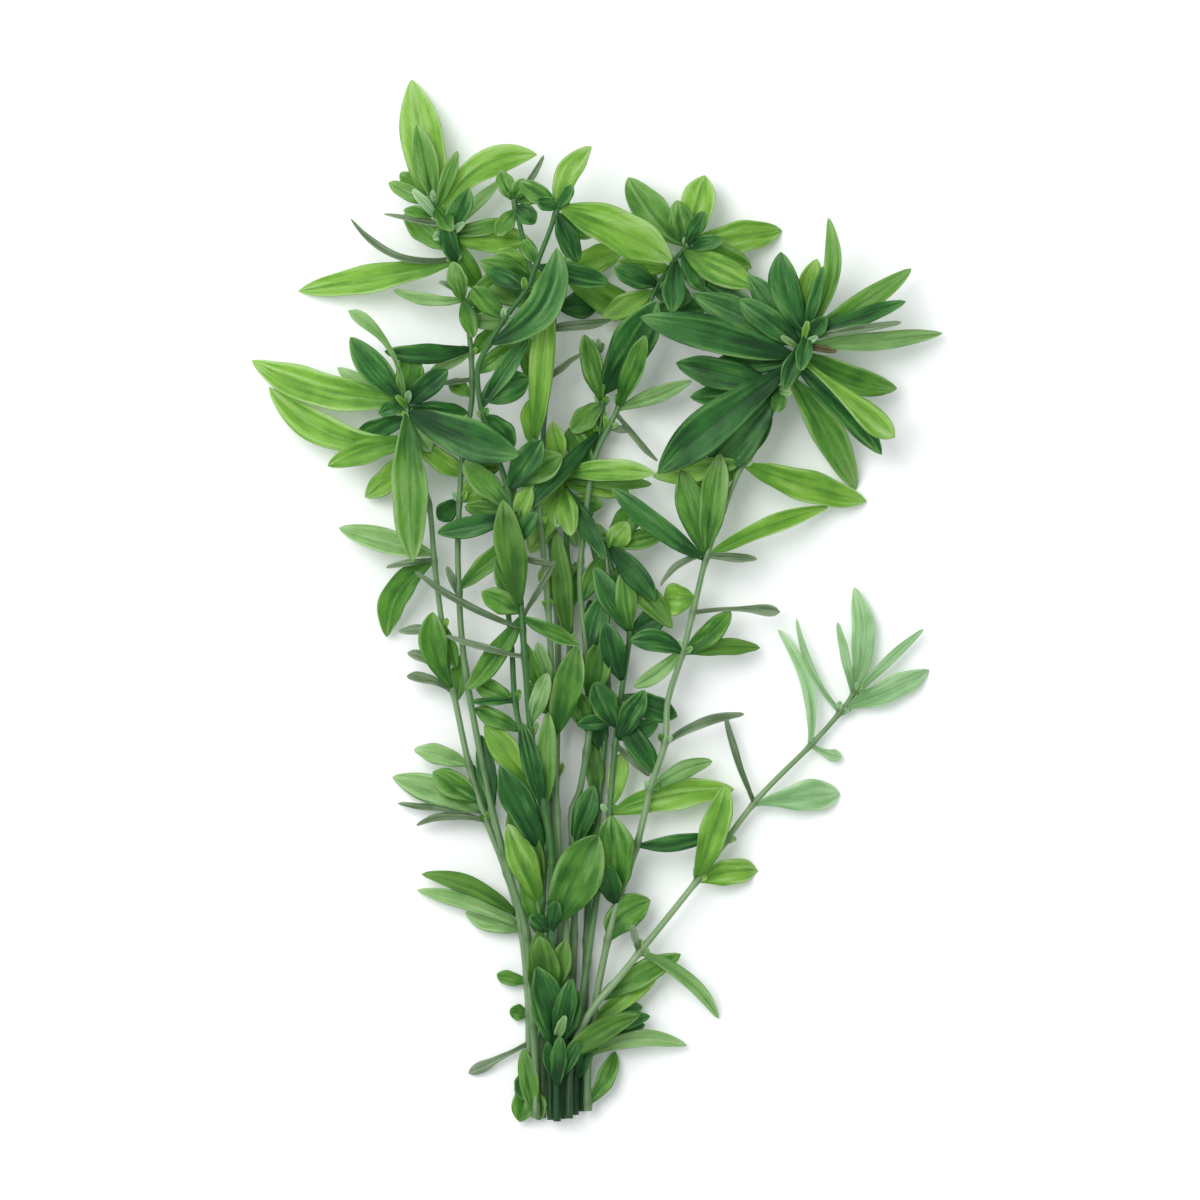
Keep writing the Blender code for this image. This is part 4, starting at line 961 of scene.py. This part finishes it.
# The deep, middle and pale colours, the colour of light that comes through, and the share that it has.
COLOURS = {
    "dark": ((0.006, 0.048, 0.009), (0.028, 0.145, 0.023), (0.17, 0.37, 0.10), (0.16, 0.50, 0.07), 0.32),
    "green": ((0.022, 0.110, 0.014), (0.108, 0.285, 0.038), (0.35, 0.52, 0.21), (0.38, 0.66, 0.12), 0.42),
    "bright": ((0.075, 0.230, 0.026), (0.235, 0.455, 0.066), (0.56, 0.71, 0.37), (0.56, 0.80, 0.22), 0.48),
    "olive": ((0.035, 0.120, 0.014), (0.105, 0.260, 0.034), (0.23, 0.39, 0.12), (0.34, 0.56, 0.11), 0.40),
    "pale": ((0.100, 0.240, 0.060), (0.260, 0.450, 0.170), (0.52, 0.65, 0.41), (0.62, 0.82, 0.44), 0.48),
    "mint": ((0.160, 0.320, 0.135), (0.355, 0.555, 0.300), (0.61, 0.74, 0.53), (0.66, 0.85, 0.56), 0.50),
    "grey": ((0.060, 0.110, 0.045), (0.190, 0.270, 0.155), (0.38, 0.46, 0.33), (0.50, 0.62, 0.42), 0.40),
    "brown": ((0.040, 0.036, 0.014), (0.105, 0.100, 0.040), (0.22, 0.22, 0.11), (0.38, 0.38, 0.16), 0.30),
}
LOOKS = {look: leaf_finish("leaf_" + look, *colours) for look, colours in COLOURS.items()}
SLOTS = {"grey": "leaf_pale", "brown": "leaf_olive"}
print("leaf finishes:", ", ".join(LOOKS))

# %% [markdown]
# ## Where the inner leaves lie
# A leaf in the middle of the bunch mustn't cut through a stem or a large leaf. So each is tried at its
# planned height, then a little higher and lower, and the first place that crosses the fewest faces of the
# solids is kept. The trial is a flat blade, which is quick to make. Blender's search tree finds the
# crossings of two sets of faces quickly. The leaf's own stem isn't in its tree, because the leaf grows from
# it.

# %% Find a free height
TRIAL_STEP = 0.6 * MM
TRIALS = 12
TRIAL_SHARE = 0.22


def sheet_tree(leaf, stem, tip_height):
    """A search tree of the flat blade: the midrib's points plus and minus half the width across."""
    u = np.linspace(0.15, 1, 6)
    line, across, _ = leaf_line(leaf, stem, tip_height, u, 0)
    half = blade_width(leaf, u)[:, None]
    points = np.stack([line - half * across, line + half * across], axis=1).reshape(-1, 3)
    row = 2 * np.arange(len(u) - 1)[:, None]
    return BVHTree.FromPolygons(points.tolist(), (row + [0, 1, 3, 2]).tolist())


def solids_tree(left_out):
    """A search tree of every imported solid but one."""
    points, faces, count = [], [], 0
    for node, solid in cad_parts.items():
        if node != left_out:
            places = corners(node)
            points += places.tolist()
            faces += [[corner + count for corner in face.vertices] for face in solid.data.polygons]
            count += len(places)
    return BVHTree.FromPolygons(points, faces)


def free_height(leaf, stem, solids):
    """The trial height at which the blade crosses the fewest faces, no further from the plan than
    TRIAL_SHARE of the leaf's length."""
    reach = TRIAL_SHARE * math.dist(leaf.at, leaf.to) * PIXEL
    trials = leaf.high * MM + TRIAL_STEP * np.array(sorted(range(-TRIALS, TRIALS + 1), key=abs))
    trials = trials[(trials > TRIAL_STEP) & (np.abs(trials - leaf.high * MM) <= reach)]
    crossings = [len(sheet_tree(leaf, stem, height).overlap(solids)) for height in trials]
    return trials[np.argmin(crossings)], min(crossings)


inner_heights = {}
for name, group in INNER.items():
    solids = solids_tree("stem_" + name)
    inner_heights[name] = [free_height(leaf, stems[name], solids) for leaf in group]
clear = [crossings == 0 for group in inner_heights.values() for height, crossings in group]
print("inner leaves whose flat trial blade crosses no solid:", sum(clear), "of", len(clear))

# %% [markdown]
# ## Buds
# Where a shoot still grows, tiny folded leaves stand at its tip, and a pair of them sits in many a joint.
# Most are paler than the rest, because they are young and thin. The whitish mint ones are also a painted
# highlight: they stand for small glints of light at the tips and joints. Each is a leaf like any other with a
# short length: the same lines of code can draw it. The foot of a stem has none: BARE_FOOT says how much of
# its length that is. TIP_TURNS are the directions of the four at the tip, in radians from the stem's own.

# %% Buds at the tips and joints
BUD_LENGTHS = (2.0, 3.4)
BUD_SHARE = 0.55
BARE_FOOT = 0.35
LOWEST_BUD = 0.4 * MM
TIP_TURNS = (-0.9, -0.25, 0.35, 0.95)


def bud(stem, distance, turn, chance):
    """A tiny leaf that leaves the stem at an angle of turn, seen from above, and its tip's height."""
    root = stem.at(distance)
    ahead = stem.heading(distance)
    beside = unit(np.cross(UP, ahead))
    length = chance.uniform(*BUD_LENGTHS)
    tip = root + (ahead * math.cos(turn) + beside * math.sin(turn)) * length * MM
    ends = [(place[0] / PIXEL + MIDDLE_PX[0], MIDDLE_PX[1] - place[1] / PIXEL) for place in (root, tip)]
    height = max(tip[2] + chance.uniform(0.2, 1.0) * MM, LOWEST_BUD)
    # A mint bud is partly a painted highlight: its whitish colour stands for a glint of light.
    look = chance.choice(["pale", "mint", "bright", "green"])
    return Leaf(*ends, height / MM, chance.uniform(0.9, 1.5), widest=0.5, look=str(look)), height


chance = np.random.default_rng(7)
buds = {}
for name, stem in stems.items():
    tip = stem.along[-1] - 0.4 * MM
    upper = [place for place in stem.joints if place > BARE_FOOT * tip and chance.uniform() < BUD_SHARE]
    places = [(tip, turn) for turn in TIP_TURNS]
    places += [(place, side * chance.uniform(0.5, 0.9)) for place in upper for side in (-1, 1)]
    buds[name] = [bud(stem, distance, turn, chance) for distance, turn in places]
print("buds:", sum(len(group) for group in buds.values()))

# %% [markdown]
# ## Leaves that part for each other
# Two real leaves never pass through one another. So each leaf is tried at a few heights close to its own, and
# the first one where its skin crosses the fewest faces of the leaves made before is kept. A large leaf moves
# less than a small one, because it stands for a solid of its own. Before each trial the generator of the
# chance numbers goes back to where it was, so that every trial has the same twist, wave and shade. The
# rows near the joint are left out of the search, because all leaves of a joint meet there. For an inner
# leaf the faces of the solids count too, because its skin is wider and more curved than its flat trial was.

# %% Find where a leaf crosses the others
SMALL_SHIFTS = 0, 0.3, -0.3, 0.6, -0.6, 0.9, -0.9, 1.2, -1.2, 1.5, -1.5, 1.8, -1.8, 2.1
LARGE_SHIFTS = 0, 0.2, -0.2, 0.4, -0.4, 0.6, -0.6, 0.8, -0.8
JOINT_SHARE = 0.15
LOWEST_TIP = 0.3 * MM
made = []


def skin_tree(points):
    """A search tree of a skin's faces, and the lowest and the highest corner of its box."""
    points = points[round(JOINT_SHARE * len(points)):]
    quads = ring_faces(*points.shape[:2])[0]
    places = points.reshape(-1, 3)
    return BVHTree.FromPolygons(places.tolist(), quads.tolist()), places.min(axis=0), places.max(axis=0)


def parted_skin(leaf, stem, height, rows, chance, solids=None):
    """A leaf's skin, and how many faces of the skins in made, and of the solids if they are given, it
    crosses at its best trial height."""
    state = chance.bit_generator.state
    lows, highs = (np.array([entry[side] for entry in made]).reshape(-1, 3) for side in (1, 2))
    best = None
    for shift in LARGE_SHIFTS if leaf.own else SMALL_SHIFTS:
        chance.bit_generator.state = state
        skin = leaf_skin(leaf, stem, max(height + shift * MM, LOWEST_TIP), rows, chance)
        entry = skin_tree(skin[0])
        near = np.flatnonzero((lows < entry[2]).all(axis=1) & (highs > entry[1]).all(axis=1))
        crossings = sum(len(entry[0].overlap(made[place][0])) for place in near)
        if solids:
            crossings += len(entry[0].overlap(solids))
        if best is None or crossings < best[1]:
            best = skin, crossings, entry
        if crossings == 0:
            break
    made.append(best[2])
    return best[:2]


# %% [markdown]
# ## All the leaves
# Each large leaf is a piece of its own and stands for its solid. The small leaves of a stem that share a
# finish are joined into one piece. The chance numbers behind each leaf's twist, wave and shade come from a
# generator with a fixed seed, so every run gives the same bunch.

# %% Make the leaves
chance = np.random.default_rng(12)
faces = crossed = 0
for name, group in LEAVES.items():
    young = {}
    for number, leaf in enumerate(group):
        key = name, number
        rows = LARGE_ROWS if leaf.own else SMALL_ROWS
        grid, crossings = parted_skin(leaf, stems[name], heights[key], rows, chance)
        crossed += crossings > 0
        if leaf.own:
            slot = "leaf_" + leaf.look
            piece = make_piece(nodes[key] + "_blade", [grid], LOOKS[leaf.look], nodes[key])
            faces += len(piece.data.polygons)
        else:
            young.setdefault(leaf.look, []).append(grid)
    solids = solids_tree("stem_" + name)
    for leaf, (height, _) in zip(INNER.get(name, []), inner_heights.get(name, [])):
        grid, crossings = parted_skin(leaf, stems[name], height, SMALL_ROWS, chance, solids)
        crossed += crossings > 0
        young.setdefault(leaf.look, []).append(grid)
    for leaf, height in buds[name]:
        young.setdefault(leaf.look, []).append(leaf_skin(leaf, stems[name], height, BUD_ROWS, chance))
    for look, grids in young.items():
        slot = SLOTS.get(look, "leaf_" + look)
        piece = make_piece(f"young_{name}_{look}", grids, LOOKS[look], f"stem_{name}")
        faces += len(piece.data.polygons)
print("faces of all leaves:", faces)
print("leaves that still cross another, or for inner ones a solid:", crossed, "of", len(made))

# %% [markdown]
# ## The stems
# A stem of this plant is round and fleshy, and swells at each joint, where a raised ring runs round it.
# It has faint ridges, and tapers towards its tip. Its cut end shows a pale core. The circle is carried
# along the stem's route, and its radius is a sum: the taper, a swelling at the joints, the ring and the
# ridges. Rows are close together near the joints and far apart elsewhere.
#
# The upper half of each stem is a deeper green than its foot, a painted shade of the leaves that crowd round
# it there. The cut ends in the thick of the bundle are darker still, a painted shade between the tightly
# packed stems. BUNDLE says between which two places across the bunch that is, in millimetres.

# %% The skin of a stem
SWELLING = 0.2 * MM
RING = 0.06 * MM
RIDGE = 0.05 * MM
SWELLING_REACH = 1.7 * MM
RING_REACH = 0.28 * MM
SHADE_REACH = 1.3 * MM
STEM_GAP = 0.05 * MM
STEM_COLUMNS = 24
TIP_SHADE = 0.35
BUNDLE = (-12.6, -3.2)


def stem_skin(stem, shade, chance):
    """The grid of a stem's skin, from the middle of its cut face to its tip, its map and its values.

    The radius is the taper plus SWELLING times exp(-(d/SWELLING_REACH)^2) of the distance d from the nearest
    joint, plus RING times exp(-(d/RING_REACH)^2), plus RIDGE times the cosine of four times the angle. The
    shade grows by TIP_SHADE from the stem's middle to its tip, a painted shade of the leaves round it. The
    value deep is 1 where the stem lies in the thick of the bundle, and falls to 0 over 1 mm beside it and
    between 10 and 26 mm from the cut end; it carries the painted shade between the packed stems."""
    length = stem.along[-1]
    near = np.array([-2.4, -1.5, -0.9, -0.5, -0.25, 0, 0.25, 0.5, 0.9, 1.5, 2.4]) * MM
    at_joints = np.add.outer(stem.joints, near).ravel()
    rows = np.concatenate([np.arange(0.3 * MM, length, 2.2 * MM), at_joints, [length]])
    rows = np.unique(rows[(rows > 0) & (rows <= length)])
    rows = rows[np.concatenate([[True], np.diff(rows) > 0.12 * MM])]
    # The cut face comes first and the rounded tip last.
    round_tip = length / MM + np.array([0.3, 0.5, 0.58])
    rows = np.concatenate([[0.12, 0.12, 0.04, 0, 0.02], rows / MM, round_tip]) * MM
    shrink = np.ones(len(rows))
    shrink[:4] = 0.05, 0.4, 0.45, 0.93
    shrink[-3:] = 0.85, 0.55, 0.1
    cut = np.zeros(len(rows))
    cut[:5] = 1, 1, 0.5, 0.6, 0
    away = np.subtract.outer(rows, stem.joints)
    away = np.abs(away).min(axis=-1) if len(stem.joints) else np.full(len(rows), 1.0)
    radius = STEM_RADIUS + (TIP_RADIUS - STEM_RADIUS) * rows / length
    swell = SWELLING * np.exp(-((away / SWELLING_REACH) ** 2)) + RING * np.exp(-((away / RING_REACH) ** 2))
    turn = np.arange(STEM_COLUMNS) * 2 * np.pi / STEM_COLUMNS
    heading = stem.heading(np.clip(rows, 0, length))[:, None]
    centre = stem.at(rows)[:, None]
    centre = centre + heading * np.maximum(rows - length, 0)[:, None, None]
    right = unit(np.cross(heading, UP))
    top = np.cross(right, heading)
    bumpy = RIDGE * np.cos(4 * turn) + (radius + swell)[:, None]
    circle = np.cos(turn)[:, None] * right + np.sin(turn)[:, None] * top
    points = centre + (shrink[:, None] * bumpy)[..., None] * circle
    points[..., 2] = np.maximum(points[..., 2], STEM_GAP)
    round_share = np.linspace(0, 1, STEM_COLUMNS + 1)
    chart = np.stack(np.broadcast_arrays(rows[:, None] / (20 * MM), round_share), axis=-1)
    joint = np.exp(-((away / SHADE_REACH) ** 2))[:, None]
    # TIP_SHADE darkens the upper half of the stem: painted shade of the leaves round its tip.
    shade = shade + TIP_SHADE * ease(0.5, 1, rows / length)[:, None]
    sideways = centre[..., 0] / MM
    # The thick of the bundle gets painted shade, where the packed stems shade one another.
    shaded_bundle = ease(BUNDLE[0] - 1, BUNDLE[0], sideways) * ease(BUNDLE[1] + 1, BUNDLE[1], sideways)
    deep = shaded_bundle * ease(26, 10, rows / MM)[:, None] * (1 - cut[:, None])
    return points, chart, {"shade": shade, "joint": joint, "cut": cut[:, None], "deep": deep}


rows = stem_skin(stems["tall"], 0.5, chance)[0]
print("one stem's grid, rows by columns:", rows.shape[:2])

# %% [markdown]
# The skin of a stem is grey-green and a little glossy, with fine streaks along it: a painted highlight where
# the light catches a ridge, and painted shade in the furrows between. It is darker and browner at the joints.
# Each stem has a shade of its own, partly its own tone and partly painted shade: the stems in the middle of
# the pile are the darkest.

# %% A stem's finish
def stem_finish():
    """Each blend lays one more colour over the last: the shade, the painted highlights on the ridges, the
    painted shade in the furrows, the joints, the painted shade in the thick of the bundle and the cut end's
    core."""
    finish = Finish("stem")
    chart = finish.add("ShaderNodeUVMap", {"uv_map": "leafmap"}, {}, "UV")
    place = finish.place()
    shade, joint, cut, deep = (finish.attribute(name) for name in ("shade", "joint", "cut", "deep"))
    stretched = {"Vector": chart, "Scale": (1.5, 26, 1)}
    streak_place = finish.add("ShaderNodeMapping", {}, stretched, "Vector")
    streak = finish.noise(1, 3, streak_place)
    cloud = finish.noise(90, 2, place)
    colour = finish.blend((0.26, 0.38, 0.20), (0.035, 0.13, 0.03), shade + (cloud - 0.5) * 0.8)
    # A painted highlight along the ridges, weaker on darker stems, and then painted shade in the furrows.
    colour = finish.blend(colour, (0.42, 0.53, 0.33), streak.step(0.52, 0.72) * 0.5 * (1 - shade * 0.6))
    colour = finish.blend(colour, (0.03, 0.10, 0.02), streak.step(0.45, 0.3) * 0.5)
    colour = finish.blend(colour, (0.04, 0.09, 0.02), joint * 0.4)
    # Painted shade in the thick of the bundle, between the packed stems.
    colour = finish.blend(colour, (0.003, 0.034, 0.010), deep * (1.25 - streak * 0.6))
    colour = finish.blend(colour, (0.45, 0.55, 0.30), cut)
    bump = {"Strength": 0.5, "Distance": 0.12 * MM, "Height": streak + cloud * 0.5}
    normal = finish.add("ShaderNodeBump", {}, bump, "Normal")
    skin = {"Base Color": colour, "Roughness": 0.3 + cloud * 0.16, "IOR": 1.4, "Normal": normal}
    front = finish.add("ShaderNodeBsdfPrincipled", {}, skin, "BSDF")
    behind = finish.add("ShaderNodeBsdfTranslucent", {}, {"Color": (0.45, 0.75, 0.3, 1)}, "BSDF")
    both = finish.add("ShaderNodeMixShader", {}, {0: 0.18, 1: front, 2: behind}, "Shader")
    finish.close(both)
    return finish.material


# Each stem's shade is partly its own tone and partly painted shade: the stems in the middle of the pile are
# darkest.
SHADES = {"tall": 0.55, "left": 0.35, "dark": 1.0, "bright": 0.5, "upper_right": 0.55, "inner": 0.75,
          "right": 0.3, "hub": 0.7, "star": 0.7, "low": 0.8, "back": 0.5, "side": 0.15}
skin = stem_finish()
for name, stem in stems.items():
    piece = make_piece(f"stalk_{name}", [stem_skin(stem, SHADES[name], chance)], skin, f"stem_{name}")
print("stems made:", len(stems))

# %% [markdown]
# ## The table
# The table is a plain pale sheet, one square that reaches far past the edges of the picture.

# %% The table
TABLE_SIZE = 4.0


def plain_material(name, colour, roughness):
    """One colour and one roughness all over."""
    finish = Finish(name)
    skin = {"Base Color": (*colour, 1), "Roughness": roughness}
    finish.close(finish.add("ShaderNodeBsdfPrincipled", {}, skin, "BSDF"))
    return finish.material


half = TABLE_SIZE / 2
table_mesh = bpy.data.meshes.new("table")
square = [(-half, -half, 0), (half, -half, 0), (half, half, 0), (-half, half, 0)]
table_mesh.from_pydata(square, [], [(0, 1, 2, 3)])
table_mesh.materials.append(plain_material("table_white", (0.86, 0.87, 0.86), 0.7))
table = bpy.data.objects.new("table", table_mesh)
bpy.context.scene.collection.objects.link(table)
print("table:", TABLE_SIZE, "m wide")

# %% [markdown]
# ## The light
# One large soft lamp hangs over the upper left corner, and a pale sky fills the shadows, as in a room with
# white walls. A lamp as wide as it is here gives shadows with soft edges.

# %% The light
SKY_STRENGTH = 0.82
LAMP_WATTS = 18
LAMP_PLACE = (-0.6, 0.5, 1.3)


def aim(lamp, target):
    """Turns a lamp to shine at a place: its -Z axis points from the lamp to it."""
    way = Vector(target) - lamp.location
    lamp.rotation_euler = way.to_track_quat("-Z", "Y").to_euler()


world = bpy.data.worlds.new("pale_room")
world.use_nodes = True
sky = world.node_tree.nodes["Background"].inputs
sky["Color"].default_value = (0.95, 0.98, 1.0, 1)
sky["Strength"].default_value = SKY_STRENGTH
bpy.context.scene.world = world

lamp = bpy.data.lights.new("soft_box", "AREA")
lamp.shape = "SQUARE"
lamp.size = 1.0
lamp.energy = LAMP_WATTS
lamp_object = bpy.data.objects.new("soft_box", lamp)
lamp_object.location = LAMP_PLACE
bpy.context.scene.collection.objects.link(lamp_object)
aim(lamp_object, (0, 0, 0))
print("lamp:", round(lamp.energy), "W, sky:", SKY_STRENGTH)

# %% [markdown]
# ## The camera
# The camera looks straight down from far away through a long lens, so that high and low leaves keep their
# places in the picture. The lens length is the sensor's width times the distance over the picture's width.
# A new camera already looks down its own -Z axis, so it needs no turning. The Standard view keeps the
# greens as they are.

# %% The camera
PICTURE_WIDTH = 0.3
CAMERA_HEIGHT = 2.5
SENSOR = 36.0
camera = bpy.data.cameras.new("overhead")
camera.sensor_width = SENSOR
camera.lens = SENSOR * CAMERA_HEIGHT / PICTURE_WIDTH
camera.clip_end = 10
camera_object = bpy.data.objects.new("overhead", camera)
middle = spot(600, 600, 10)
camera_object.location = (middle[0], middle[1], middle[2] + CAMERA_HEIGHT)
bpy.context.scene.collection.objects.link(camera_object)
bpy.context.scene.camera = camera_object
bpy.context.scene.view_settings.view_transform = "Standard"
print("lens:", round(camera.lens), "mm")
